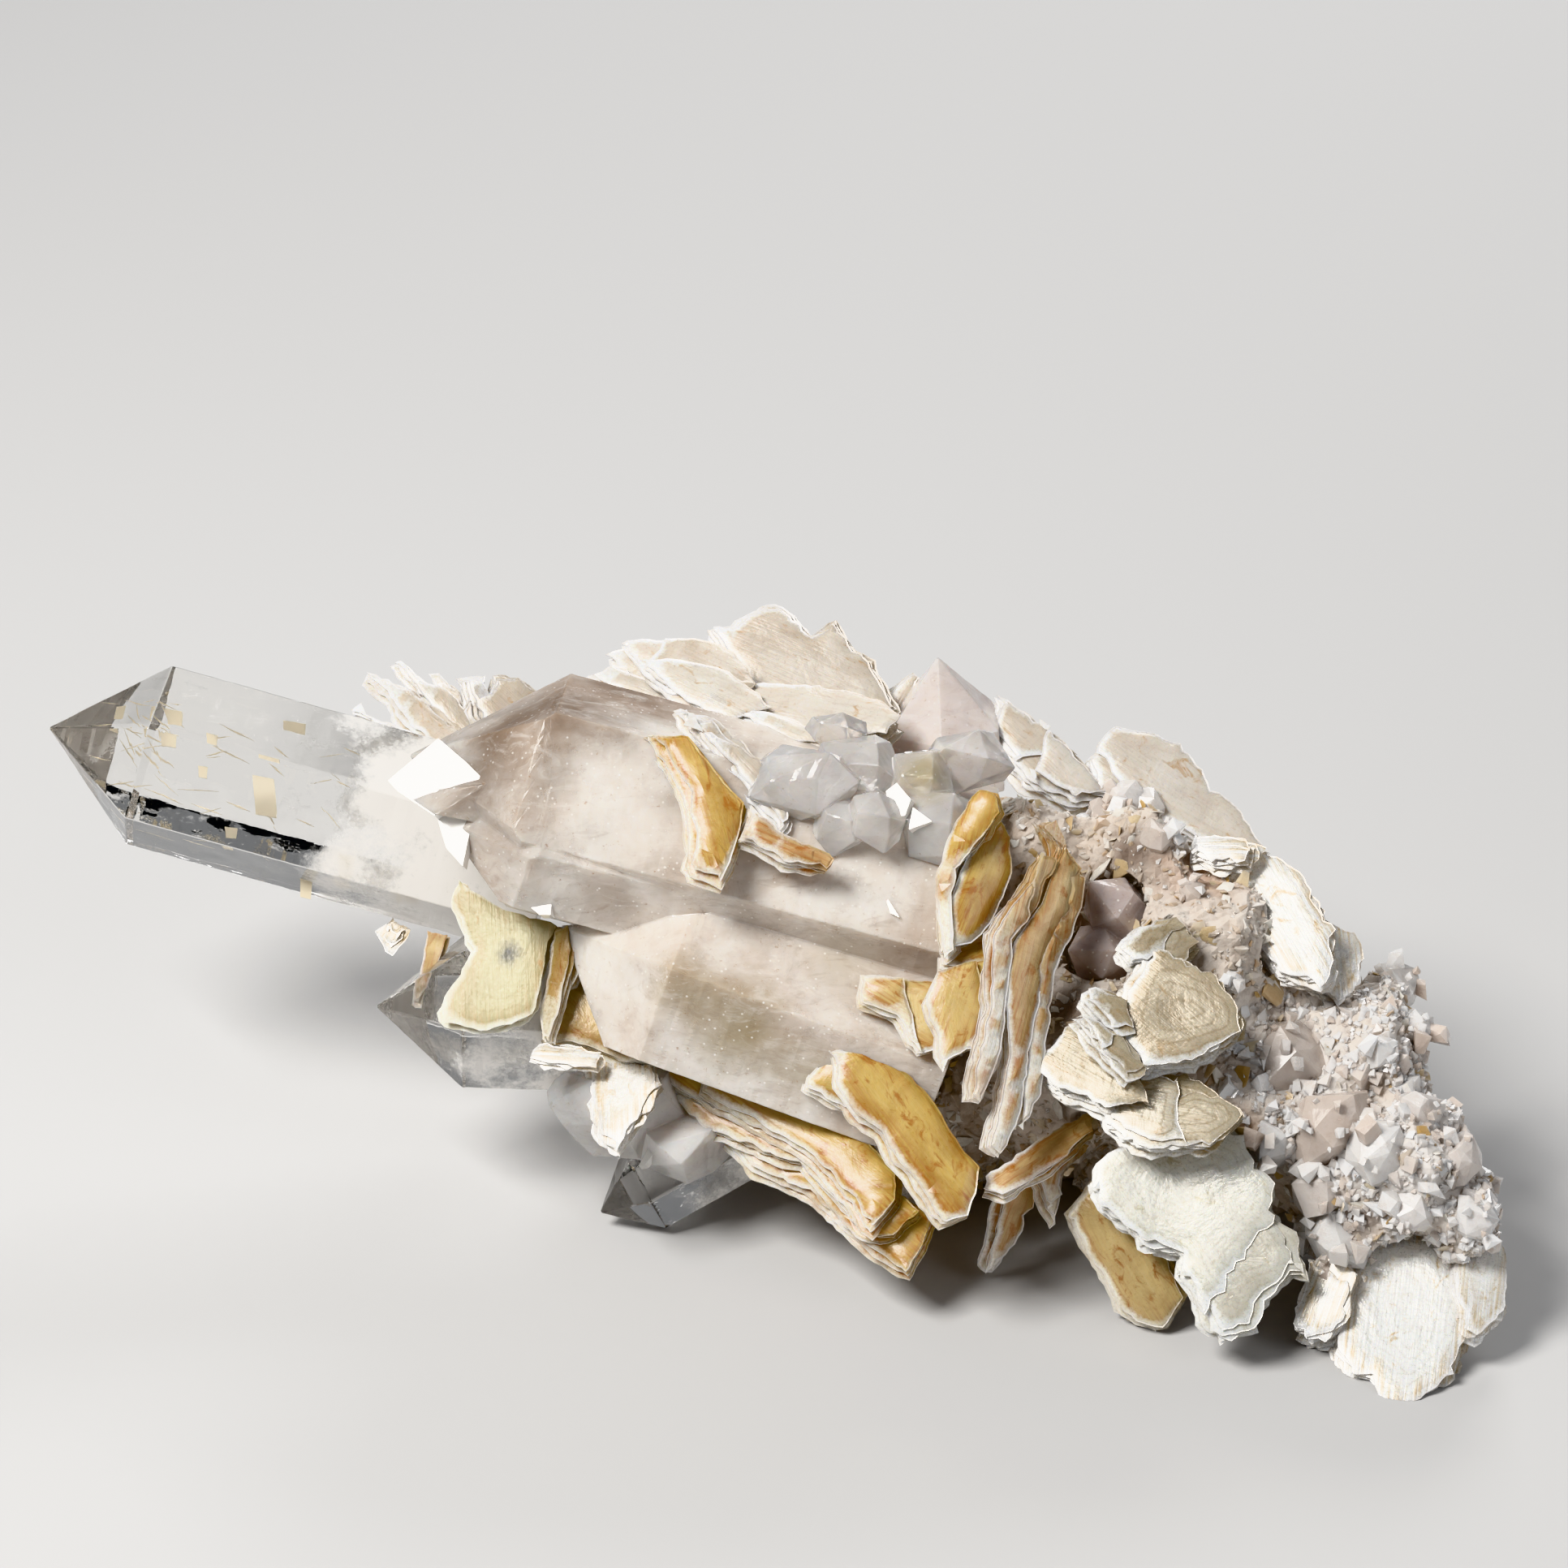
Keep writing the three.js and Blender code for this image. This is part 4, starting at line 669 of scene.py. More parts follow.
# What all blades share, as limits in mm and as shares of a blade's half length: how much its leaves bow,
# and how far the front one's lower left edge stands back behind the last. slim is the half width below
# which the white rims grow narrower, at most narrowest times; endFan keeps long blades from spreading.
bladeForm = {"bow": 0.45, "bowShare": 0.03, "overhang": 1.8, "overhangShare": 0.16, "overhangThick": 0.65,
             "slim": 2.8, "narrowest": 2.2, "endFan": 14, "shades": 0.18}


# All leaves of one blade, as points in the cluster's frame with their values for the shader. rim is the
# distance from a leaf's edge: it counts less towards the lower left, so that the pale edge colour there is
# widened into a painted highlight of the lit side walls.
def bladeBody(blade, look, tone, seed):
    chance = random.Random(seed)
    anchor, acrossPlane, upPlane, normal, flat = laidFlat(blade)
    cloud = np.array([(p.x, p.y) for p in flat])
    centre = cloud.mean(0)
    long = np.linalg.eigh(np.cov((cloud - centre).T))[1][:, 1]
    crosswise = np.array((-long[1], long[0]))
    size = np.abs((cloud - centre) @ long).max()
    halfWidth = np.abs((cloud - centre) @ crosswise).max()
    shown = heading(-0.8, -0.6, 0)
    lowerLeft = Vector((shown.dot(acrossPlane), shown.dot(upPlane))).normalized()
    reach = np.abs((cloud - centre) @ np.array(lowerLeft)).max()
    count = max(3, round(blade["thick"] / look["leafThick"]))
    pitch = blade["thick"] / count
    fan = math.tan(math.radians(min(look["fan"], bladeForm["endFan"] / size)))
    bow = min(bladeForm["bow"], size * bladeForm["bowShare"])
    overhang = min(bladeForm["overhang"], size * bladeForm["overhangShare"],
                   blade["thick"] * bladeForm["overhangThick"])
    narrow = min(bladeForm["narrowest"], max(1.0, bladeForm["slim"] / halfWidth))

    def bend(x, y):
        return bow * noise.noise(Vector((x * 0.09, y * 0.09, seed * 1.3))) - bow * 0.3

    points, faces, rims, books, tones = [], [], [], [], []
    total = 0
    for leaf in range(count):
        outline = flat
        if leaf < count - 2 and chance.random() < look["missing"] / (1 + leaf * 0.5):
            outline = brokenOutline(flat, centre, size, chance)
        inset = 0 if leaf == count - 1 else chance.uniform(-0.1, look["split"])
        shingle = overhang * (count - 1 - leaf) / count
        edge = alongEdge(outline, leafGrid["edge"])
        torn = tornEdge(edge, inset, look["ragged"], seed + leaf * 3.7, lowerLeft, shingle)
        gridStep = leafGrid["front" if leaf < 2 else "behind"]
        deep = pitch * chance.uniform(0.8, 0.95)
        body, leafFaces, rim = leafBody(torn, gridStep, -leaf * pitch, deep, look["rounding"], bend)
        lean = np.array((chance.uniform(-1, 1), chance.uniform(-1, 1))) * fan * (0.3 if leaf else 0.15)
        body[:, 2] += (body[:, :2] - centre) @ lean
        world = (np.array(anchor)[None, :] + body[:, :1] * np.array(acrossPlane)
                 + body[:, 1:2] * np.array(upPlane) + body[:, 2:3] * np.array(normal))
        points.append(world)
        faces += [tuple(i + total for i in face) for face in leafFaces]
        along = (body[:, :2] - centre) @ long
        wide = (body[:, :2] - centre) @ crosswise
        books.append(np.column_stack([along + seed * 13.1, wide, np.full(len(body), leaf * 0.8)]))
        # How far towards the lower left a point lies: there the pale rim is widened as a painted highlight of
        # the lit side.
        wornAndLitRim = (body[:, :2] - centre) @ np.array(lowerLeft) / reach
        rims.append(rim * narrow * np.clip(1.0 - 0.5 * wornAndLitRim, 0.5, 1.5) + 0.95 * np.clip(-wornAndLitRim, 0, 1))
        shade = tone + chance.uniform(-bladeForm["shades"], bladeForm["shades"])
        tones.append(np.full(len(body), min(1.0, max(0.0, shade))))
        total += len(body)
    return np.vstack(points), faces, np.concatenate(rims), np.vstack(books), np.concatenate(tones)


def buildMica():
    materials = {kind: micaMaterial(kind, look) for kind, look in micaLooks.items()}
    for number, (name, book) in enumerate(micaBooks.items()):
        kind = bookLooks.get(name, book["slot"])
        look = micaLooks[kind]
        tone = bookTones.get(name, plainTone)
        if name in wholeBooks:
            look = {**look, **wholeLook}
        blades = [bladeBody(blade, look, tone, number * 31 + i + 1) for i, blade in enumerate(book["blades"])]
        points, sides, rims, places, tones = zip(*blades)
        starts = np.cumsum([0] + [len(spots) for spots in points])
        faces = [tuple(int(i + start) for i in face) for start, some in zip(starts, sides) for face in some]
        values = {"rim": np.concatenate(rims), "bookCo": np.vstack(places), "tone": np.concatenate(tones)}
        makePiece(name, name, np.vstack(points), faces, materials[kind], values, smooth=True)
    print("mica books split into leaves")


# Quartz: a finely shaped copy of each solid. Values along the crystal (0 at the tip, in mm) drive
# where the clear part turns milky.
def worldMesh(name):
    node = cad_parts[name]
    body = bmesh.new()
    body.from_mesh(node.data)
    body.transform(node.matrix_world)
    bmesh.ops.scale(body, vec=Vector((1, 1, 1)) / mm, verts=body.verts)
    bmesh.ops.remove_doubles(body, verts=body.verts, dist=0.01)
    bmesh.ops.dissolve_limit(body, angle_limit=math.radians(0.4), verts=body.verts, edges=body.edges)
    return body


# Where a sight line through a sheet point first meets a solid, or else the nearest point of the solid.
def surfaceAt(name, across, down):
    body = worldMesh(name)
    tree = BVHTree.FromBMesh(body)
    body.free()
    start = seen(across, down, -70)
    direction = (seen(across, down, 70) - start).normalized()
    return tree.ray_cast(start, direction)[0] or tree.find_nearest(seen(across, down, 0))[0]


# Cuts a body into small faces so that it can carry fine relief, without rounding its edges.
def refined(body, length):
    bmesh.ops.triangulate(body, faces=body.faces)
    for _ in range(7):
        longEdges = [edge for edge in body.edges if edge.calc_length() > length]
        if not longEdges:
            break
        bmesh.ops.subdivide_edges(body, edges=longEdges, cuts=1)
        bmesh.ops.triangulate(body, faces=body.faces)
    return body


# The quartz pieces. tip and end lie on the sheet, clearFor is how many mm from the tip stay clear and
# fade how many mm the change to milky takes. looks is the material where it isn't the slot's own.
quartzLooks = {
    "long_clear_crystal": {
        "slot": "clear_quartz", "tip": (5.9, 89.6, 17), "end": (69.5, 107.2, 17), "clearFor": 33, "fade": 15},
    "left_crystal": {
        "slot": "clear_quartz", "tip": (46.2, 124, 5), "end": (71, 124.7, 5), "clearFor": 9, "fade": 14},
    "bottom_crystal": {
        "slot": "clear_quartz", "tip": (73.8, 149.5, 6.5), "end": (96, 137, 6.5), "clearFor": 7, "fade": 14},
    "summit_crystal": {
        "slot": "milky_quartz", "looks": "summit_quartz",
        "tip": (115.5, 80.8, 4), "end": (117, 97, 10), "clearFor": 5, "fade": 16},
    "milky_crystal_group": {
        "slot": "milky_quartz", "tip": (50.3, 93, -6), "end": (114, 110, -6), "clearFor": 3, "fade": 30},
    "twin_stubby_crystals": {
        "slot": "clear_quartz", "looks": "knot_quartz",
        "tip": (77, 140, 0), "end": (100, 140, 0), "clearFor": -12, "fade": 30},
    "quartz_knot": {
        "slot": "milky_quartz", "looks": "knot_quartz",
        "tip": (109, 97, 0), "end": (120, 104, 0), "clearFor": 2, "fade": 25},
    "grey_crystals": {
        "slot": "milky_quartz", "looks": "grey_quartz",
        "tip": (131, 112, 0), "end": (142, 120, 0), "clearFor": 2, "fade": 25},
}
quartzIor = 1.544
clearLook = {
    "tint": (0.97, 0.965, 0.95), "veil": (0.90, 0.87, 0.83), "rough": 0.02,
    "absorb": 2.0, "absorbColour": (0.93, 0.90, 0.84),
}
# The milky kinds. clear is how clear they are far from the tip and right at it.
milkyLooks = {
    "milky_quartz": {
        "body": (0.58, 0.49, 0.415), "pale": (0.81, 0.765, 0.71), "smoke": (0.26, 0.175, 0.115),
        "olive": (0.27, 0.19, 0.06), "stain": (0.34, 0.17, 0.06), "rough": 0.2, "clear": (0.1, 0.45)},
    "knot_quartz": {
        "body": (0.84, 0.80, 0.77), "pale": (0.94, 0.93, 0.915), "smoke": (0.62, 0.56, 0.55),
        "olive": (0.60, 0.48, 0.20), "stain": (0.55, 0.42, 0.30), "rough": 0.1, "clear": (0.35, 0.65)},
    "summit_quartz": {
        "body": (0.80, 0.71, 0.67), "pale": (0.92, 0.875, 0.85), "smoke": (0.50, 0.38, 0.33),
        "olive": (0.60, 0.48, 0.20), "stain": (0.45, 0.30, 0.16), "rough": 0.14, "clear": (0.08, 0.35)},
    "grey_quartz": {
        "body": (0.45, 0.365, 0.335), "pale": (0.62, 0.545, 0.525), "smoke": (0.30, 0.21, 0.17),
        "olive": (0.27, 0.19, 0.06), "stain": (0.30, 0.13, 0.04), "rough": 0.16, "clear": (0.05, 0.2)},
}
glintColour = (0.95, 0.92, 0.88)

# Smoky and olive patches: on which piece, where on the sheet, how far they reach, how strong.
quartzPatches = {
    "milky_quartz": {
        "on": "milky_crystal_group",
        "smoke": [((70, 86.5), 11, 0.9), ((78, 85.5), 9, 0.9), ((62, 90), 8, 0.8), ((86, 88), 7, 0.6),
                  ((58, 96), 7, 0.5), ((66, 97), 6, 0.4), ((74, 111), 6, 0.45), ((83, 108), 5, 0.35)],
        "olive": [((91, 127), 8, 0.7), ((84, 122), 6, 0.5), ((104, 118), 7, 0.25), ((99, 132), 6, 0.4)]},
    "knot_quartz": {"on": "quartz_knot", "olive": [((114, 95), 5, 0.7)]},
}


def clearMaterial():
    shader = Shader("clear_quartz")
    place = shader.place()
    milk = shader.attribute("milk")
    grain = shader.clouds(place, 900, 4, 0.7)
    veils = shader.clouds(shader.stretched(place, (60, 60, 160)), 1.0, 4, 0.6, 0.8)
    growth = shader.clouds(shader.stretched(place, (30, 30, 30)), 8.0, 3, 0.6)
    cloud = shader.sums("ADD", milk, shader.spread(grain, 0.3, 0.7, -0.22, 0.22))
    cloud = shader.sums("ADD", cloud, shader.spread(veils, 0.56, 0.72, 0, 0.5))
    clear = shader.spread(cloud, 0.9, 0.3, 0.25, 1.0)
    colour = shader.tinted(clearLook["tint"], clearLook["veil"], cloud, 0.3, 0.9)
    rough = shader.spread(cloud, 0.4, 1.0, clearLook["rough"], 0.2)
    relief = shader.bump(shader.attribute("lines"), 0.25, 0.12)
    relief = shader.bump(growth, 0.10, 0.25, relief)
    relief = shader.bump(grain, shader.spread(cloud, 0.3, 0.9, 0.0, 0.15), 0.1, relief)
    inputs = {"Color": clearLook["absorbColour"], "Density": clearLook["absorb"]}
    absorb = shader.node("ShaderNodeVolumeAbsorption", inputs)
    shader.tree.links.new(absorb.outputs[0], shader.output.inputs["Volume"])
    return shader.finish(
        Base_Color=colour, Roughness=rough, Transmission_Weight=clear, IOR=quartzIor, Normal=relief)


def milkyMaterial(name, look):
    shader = Shader(name)
    place = shader.place()
    milk = shader.attribute("milk")
    grain = shader.clouds(place, 1300, 4, 0.75)
    broad = shader.clouds(place, 70, 4, 0.6, 0.5)
    fine = shader.clouds(place, 320, 5, 0.7)
    wisps = shader.clouds(shader.stretched(place, (170, 420, 420)), 1.0, 5, 0.7, 1.2)
    glints = shader.cells(place, 900)
    plates = shader.cells(shader.stretched(place, (90, 90, 150)), 1.0)
    colour = shader.tinted(look["body"], look["pale"], broad, 0.35, 0.65)
    colour = shader.tinted(colour, look["smoke"], fine, 0.5, 0.75, 0.25)
    patches = quartzPatches.get(name, {})
    for kind in ("smoke", "olive"):
        for at, reach, strength in patches.get(kind, []):
            found = surfaceAt(patches["on"], *at)
            colour = shader.spotted(colour, look[kind], found, reach, strength)
    colour = shader.tinted(colour, look["pale"], wisps, 0.52, 0.7, 0.5)
    colour = shader.tinted(colour, look["smoke"], wisps, 0.45, 0.3, 0.3)
    colour = shader.tinted(colour, glintColour, glints, 0.16, 0.06, 0.8)
    colour = shader.tinted(colour, look["stain"], grain, 0.62, 0.72, 0.6)
    clear = shader.spread(milk, 1.0, 0.0, *look["clear"])
    rough = shader.spread(fine, 0.3, 0.7, look["rough"] - 0.08, look["rough"] + 0.1)
    relief = shader.bump(shader.attribute("lines"), 0.3, 0.2)
    relief = shader.bump(plates, 0.35, 0.7, relief)
    relief = shader.bump(fine, 0.2, 0.3, relief)
    return shader.finish(
        Base_Color=colour, Roughness=rough, Normal=relief, IOR=quartzIor, Transmission_Weight=clear,
        Subsurface_Weight=0.55, Subsurface_Radius=(1.0, 0.8, 0.6), Subsurface_Scale=3.0 * mm,
        Coat_Weight=0.35, Coat_Roughness=0.05)


# A thin plate on a plane, from an outline on the sheet, that reaches deep mm into what is behind it.
def flatStone(outline, anchor, normal, deep):
    spots = [seenOnPlane(*spot, anchor, normal) for spot in outline]
    count = len(spots)
    points = [p + normal * 0.05 for p in spots] + [p - normal * deep for p in spots]
    faces = [tuple(range(count)), tuple(range(2 * count - 1, count - 1, -1))]
    faces += [(i, i + count, (i + 1) % count + count, (i + 1) % count) for i in range(count)]
    return points, faces


# Many small bodies as the points and faces of one.
def joinedParts(parts):
    points, faces = [], []
    for spots, sides in parts:
        faces += [tuple(i + len(points) for i in side) for side in sides]
        points += spots
    return points, faces


# A crystal's skin, in mm: how much its edges are bevelled, how long its faces' edges may be, and how high
# the growth ridges and the steps across it stand. sunk keeps it within the solid.
crystalSkin = {"bevel": 0.12, "edge": 1.1, "quickEdge": 3.0, "ridges": 0.045, "steps": 0.05, "sunk": 0.06}


def buildQuartz():
    materials = {"clear_quartz": clearMaterial()}
    for name, look in milkyLooks.items():
        materials[name] = milkyMaterial(name, look)
    for number, (name, look) in enumerate(quartzLooks.items()):
        body = worldMesh(name)
        bmesh.ops.bevel(body, geom=body.edges, offset=crystalSkin["bevel"], segments=1, affect="EDGES")
        refined(body, crystalSkin["edge"])
        tip = seen(*look["tip"])
        axis = (seen(*look["end"]) - tip).normalized()
        points, milk, lines = [], [], []
        body.normal_update()
        for vert in body.verts:
            along = (vert.co - tip).dot(axis)
            ridge = noise.noise(Vector((along * 1.6, number * 3.1, vert.co.z * 0.06)))
            step = noise.noise(vert.co * 0.35 + Vector((number, 0, 0)))
            height = crystalSkin["ridges"] * ridge + crystalSkin["steps"] * step - crystalSkin["sunk"]
            vert.co += vert.normal * height
            points.append(vert.co.copy())
            patchy = noise.noise(vert.co * 0.16) * look["fade"] * 0.8
            milk.append(min(1.0, max(0.0, (along + patchy - look["clearFor"]) / look["fade"])))
            lines.append(noise.noise(Vector((along * 2.4, number * 7.7, 0))))
        body.verts.index_update()
        faces = [tuple(v.index for v in face.verts) for face in body.faces]
        material = materials[look.get("looks", look["slot"])]
        makePiece(name, name, points, faces, material, {"milk": milk, "lines": lines})
        body.free()
    print("quartz crystals built")


# Small plates of one flat colour: growth facets on each crystal, turned to mirror the key lamp and coloured
# near-white as a painted reflection, and cream-coloured cracks inside the long one. Every outline lies on the
# sheet.
facets = {
    "mirrors": {
        "milky_crystal_group": [
            [(47.8, 96.2), (54, 91), (57.5, 94), (60, 96.5), (57, 97.5), (55.5, 99), (53.5, 100.5),
             (49, 97.5)],
            [(53.8, 100.5), (54.5, 99.5), (57, 99), (58.3, 100.3), (57, 106.7), (55, 104.5)],
            [(65, 111.5), (68, 110.8), (67.8, 112.7), (66.5, 112.7)],
            [(109, 110.2), (110.8, 113), (109.7, 112.5)],
        ],
        "twin_stubby_crystals": [[(80.5, 140.3), (81.2, 141.2), (79.5, 143.5), (78.7, 143.7)]],
        "quartz_knot": [
            [(110.5, 96.5), (109.2, 97.5), (109.7, 100.5), (111.5, 100.5), (112.2, 98.5)],
            [(112.5, 99.5), (114.8, 101.2), (112, 102.2)],
        ],
    },
    "flakes": [
        [(31.5, 95), (34, 95.5), (34.3, 100.5), (31.7, 100)],
        [(20, 89), (22.2, 89.3), (22, 91.5), (20.2, 91.3)],
        [(15, 88), (16.4, 88.2), (16.3, 90.4), (15, 90)],
        [(34.5, 90.5), (37.4, 90.8), (37.2, 92.4), (34.6, 92)],
        [(28, 101.5), (29.5, 101.7), (29.3, 103), (28, 102.9)],
        [(37, 108), (38.5, 108.3), (38.3, 110.8), (37, 110.5)],
        [(42, 104.5), (44.2, 105), (43.8, 107.6), (42, 108.5)],
        [(25, 93.5), (26.1, 93.7), (26, 95.2), (25, 95)],
    ],
}
mirrorForm = {"facing": (-0.275, 0.3, 0.914), "proud": 0.2, "deep": 1.6}
# Thin cracks along the long crystal: how many, between which places across the sheet, how far off its
# middle line, which falls by slope, then their turn in degrees, length, half width and depth in mm.
cracks = {"count": 26, "across": (14, 44), "aside": (-4.5, 4.5), "slope": 0.277, "turnDeg": (16, 24),
          "long": (1.5, 5.5), "wide": (0.04, 0.12), "away": (11, 21), "thick": 0.08}


def buildFacets():
    mirror = Shader("painted_reflection_facet")
    # The facets' near-white colour is a painted reflection of the key lamp.
    paintedReflectionMaterial = mirror.finish(Base_Color=(0.90, 0.88, 0.84), Roughness=0.12, IOR=1.6, Coat_Weight=1.0)
    flake = Shader("inner_flake")
    flakeMaterial = flake.finish(Base_Color=(0.80, 0.70, 0.52), Roughness=0.35, IOR=1.5)
    normal = heading(*mirrorForm["facing"]).normalized()
    stones = []
    for host, outlines in facets["mirrors"].items():
        for outline in outlines:
            found = surfaceAt(host, *middleOf(outline))
            anchor = found + normal * mirrorForm["proud"]
            stones.append(flatStone(outline, anchor, normal, mirrorForm["deep"]))
    points, faces = joinedParts(stones)
    piece = makePiece("painted_reflection_facets", "milky_crystal_group", points, faces, paintedReflectionMaterial)
    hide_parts("quartz_knot")
    plates = []
    for number, outline in enumerate(facets["flakes"]):
        normal = heading(0.1 * (number % 3) - 0.1, 0.25, 0.95).normalized()
        anchor = seen(*outline[0], 12.5 + 1.4 * (number % 4))
        plates.append(flatStone(outline, anchor, normal, 0.12))
    chance = random.Random(4)
    tip = quartzLooks["long_clear_crystal"]["tip"]
    normal = heading(0, 0.2, 1).normalized()
    for _ in range(cracks["count"]):
        across = chance.uniform(*cracks["across"])
        down = chance.uniform(*cracks["aside"]) + tip[1] + (across - tip[0]) * cracks["slope"]
        angle = math.radians(chance.gauss(*cracks["turnDeg"]))
        long = chance.uniform(*cracks["long"])
        wide = chance.uniform(*cracks["wide"])
        side = (math.cos(angle) * long / 2, math.sin(angle) * long / 2)
        thin = (-math.sin(angle) * wide, math.cos(angle) * wide)
        outline = [(across - side[0], down - side[1]), (across + thin[0], down + thin[1]),
                   (across + side[0], down + side[1]), (across - thin[0], down - thin[1])]
        anchor = seen(across, down, chance.uniform(*cracks["away"]))
        plates.append(flatStone(outline, anchor, normal, cracks["thick"]))
    points, faces = joinedParts(plates)
    makePiece("inner_flakes", "long_clear_crystal", points, faces, flakeMaterial)
    print("bright facets and inner flakes set")


# Crust: the matrix the crystals grow from, with clear lumps, grains and thin flakes strewn over it.
# cube is the edge of the small cubes it is remade from, and lumpy how high its skin stands, in mm.
# Its darkest colour serves both a random dark mottling and the painted shade in its hollows.
crustLook = {
    "body": (0.50, 0.42, 0.35), "pale": (0.72, 0.66, 0.60), "shadeAndMottle": (0.12, 0.075, 0.05),
    "rust": (0.30, 0.125, 0.04), "sugar": (0.74, 0.705, 0.67), "rough": 0.75,
    "lumpy": 0.9, "cube": 0.8, "quickCube": 2.2,
}
# Patches over the crust: where it is closely covered with grains, where painted shade darkens its hollows,
# and where it is rusty: how strong, and each at (across, down) on the sheet with its reach.
crustPatches = {
    "sugar": (0.9, [((172, 144), 16), ((160, 132), 10), ((175, 126), 9)]),
    "shadeAndMottle": (0.8, [((167, 150), 5), ((139, 105), 6), ((118, 128), 5), ((131, 124), 6)]),
    "rust": (0.5, [((148, 108), 7), ((134, 112), 6), ((152, 140), 5), ((138, 95), 5)]),
}
# The stones on it: how rough and how clear each kind is, and the shades it comes in.
sugarColours = [(0.93, 0.92, 0.91), (0.85, 0.82, 0.79), (0.68, 0.575, 0.50), (0.95, 0.945, 0.94)]
grainColours = [(0.72, 0.67, 0.61), (0.60, 0.51, 0.42), (0.42, 0.29, 0.18), (0.82, 0.78, 0.73)]
flakeColours = [(0.66, 0.56, 0.40), (0.44, 0.27, 0.09), (0.78, 0.74, 0.66)]
crustStones = {
    "crust_lumps": {"material": "crust_lump", "rough": 0.14, "clear": 0.3, "colours": sugarColours},
    "crust_sugar": {"material": "crust_sugar", "rough": 0.18, "clear": 0.15, "colours": sugarColours},
    "crust_grains": {"material": "crust_grain", "rough": 0.4, "clear": 0.1, "colours": grainColours},
    "crust_flakes": {"material": "crust_flake", "rough": 0.3, "clear": 0.0, "colours": flakeColours},
}
# How they are strewn: how many, their radius in mm, how quickly large ones get rare inside and outside
# the sugar patches, how often a place outside stays bare, how often a flake is set instead, how often a
# grain in the patches is a clear one, how many follow the ground, how deep they sink as a share of their
# radius, and the height in mm over the floor that stays free of them.
strewing = {
    "grains": 13000, "flakes": 1500, "quickShare": 12, "least": 0.3, "most": 1.6, "rareInside": 4.2,
    "rareOutside": 3.2, "bare": 0.45, "flakesInside": 0.04, "flakesOutside": 0.2, "flakeLean": 0.7,
    "clearInside": 0.8, "flat": 0.3, "sunk": 0.2, "footFree": 2.2,
}
# Lumps of clear quartz on the crust: where on the sheet, and their radius in mm.
sugarLumps = [
    ((158.5, 132), 7.6), ((164.5, 139), 6.2), ((156, 141), 5.2), ((170, 142), 4.6), ((163, 147), 4.4),
    ((165.5, 152.5), 5.2), ((175, 137), 3.6), ((180, 143), 3.6), ((174, 149), 3.4), ((182, 150), 3.4),
    ((161, 151.5), 2.2), ((152, 121), 1.8), ((173, 121), 3.6), ((174.5, 127), 3.0), ((170, 130), 3.0),
    ((147, 110), 2.0), ((139, 99), 3.4), ((143, 103.5), 3.0), ((134.5, 97.5), 2.4), ((142, 98), 2.6),
]
# How many shapes of each stone are made. Grains use as many of theirs as there are blocks, which are
# the clear grains' shapes.
shapeCounts = {"grains": 14, "blocks": 12, "boulders": 6, "flakes": 8}
crustFoot = cadBox[0].z / mm


def crustMaterial(name, rough, colours=None, clear=0.0):
    shader = Shader(name)
    place = shader.place()
    fine = shader.clouds(place, 700, 5, 0.7)
    if colours:
        shade = shader.attribute("shade")
        colour = shader.tinted(colours[0], colours[1], shade, 0, 0.33)
        colour = shader.tinted(colour, colours[2], shade, 0.33, 0.66)
        colour = shader.tinted(colour, colours[-1], shade, 0.66, 1)
        colour = shader.tinted(colour, crustLook["rust"], fine, 0.5, 0.75, 0.3 * (1 - clear))
    else:
        broad = shader.clouds(place, 90, 5, 0.6, 0.6)
        colour = shader.tinted(crustLook["body"], crustLook["pale"], broad, 0.35, 0.65)
        colour = shader.tinted(colour, crustLook["shadeAndMottle"], fine, 0.5, 0.7, 0.35)
        # The dark patches are painted shade of hollows; the sugar and rust patches are the crust's own
        # colour.
        for kind, (strength, spots) in crustPatches.items():
            for at, reach in spots:
                found = surfaceAt("quartz_crust", *at)
                colour = shader.spotted(colour, crustLook[kind], found, reach, strength)
    relief = shader.bump(fine, 0.5, 0.3)
    roughness = shader.spread(fine, 0.3, 0.7, rough - 0.1, rough + 0.15)
    return shader.finish(
        Base_Color=colour, Roughness=roughness, Normal=relief, IOR=1.54, Transmission_Weight=clear,
        Subsurface_Weight=0.4, Subsurface_Radius=(1.0, 0.9, 0.8), Subsurface_Scale=1.2 * mm,
        Coat_Weight=0.5 if clear else 0.0, Coat_Roughness=0.08)


# A random direction.
def anyWay(chance):
    return Vector([chance.gauss(0, 1) for _ in range(3)]).normalized()


# The turn that brings a stone's height into a direction.
def turnedTo(way, side="X"):
    return way.to_track_quat("Z", side).to_matrix()


# A small angular stone: the hull of a few corners on a squashed ball, or of a cube knocked askew.
def grainShape(chance, flat, corners=9):
    body = bmesh.new()
    cube = [Vector((x, y, z)) for x in (-0.7, 0.7) for y in (-0.55, 0.55) for z in (-0.8, 0.8)]
    for number in range(corners):
        spot = anyWay(chance)
        spot *= chance.uniform(0.75, 1.0)
        if corners == len(cube):
            spot = cube[number] + spot * 0.52
        spot.z *= flat
        body.verts.new(spot)
    bmesh.ops.convex_hull(body, input=body.verts)
    bmesh.ops.delete(body, geom=[vert for vert in body.verts if not vert.link_faces], context="VERTS")
    body.verts.index_update()
    points = np.array([v.co for v in body.verts])
    faces = [tuple(v.index for v in face.verts) for face in body.faces]
    body.free()
    return points, faces


# One piece of many stones. Each spot holds where a stone lies, its turn, its size, its shape and its shade.
def strewn(name, shapes, spots):
    points, faces, shades = [], [], []
    total = 0
    for spot, turn, size, shape, shade in spots:
        body, sides = shapes[shape]
        points.append(body @ np.array(turn).T * size + np.array(spot))
        faces += [tuple(i + total for i in side) for side in sides]
        shades.append(np.full(len(body), shade))
        total += len(body)
    look = crustStones[name]
    material = crustMaterial(look["material"], look["rough"], look["colours"], look["clear"])
    makePiece(name, "quartz_crust", np.vstack(points), faces, material,
              {"shade": np.concatenate(shades)})


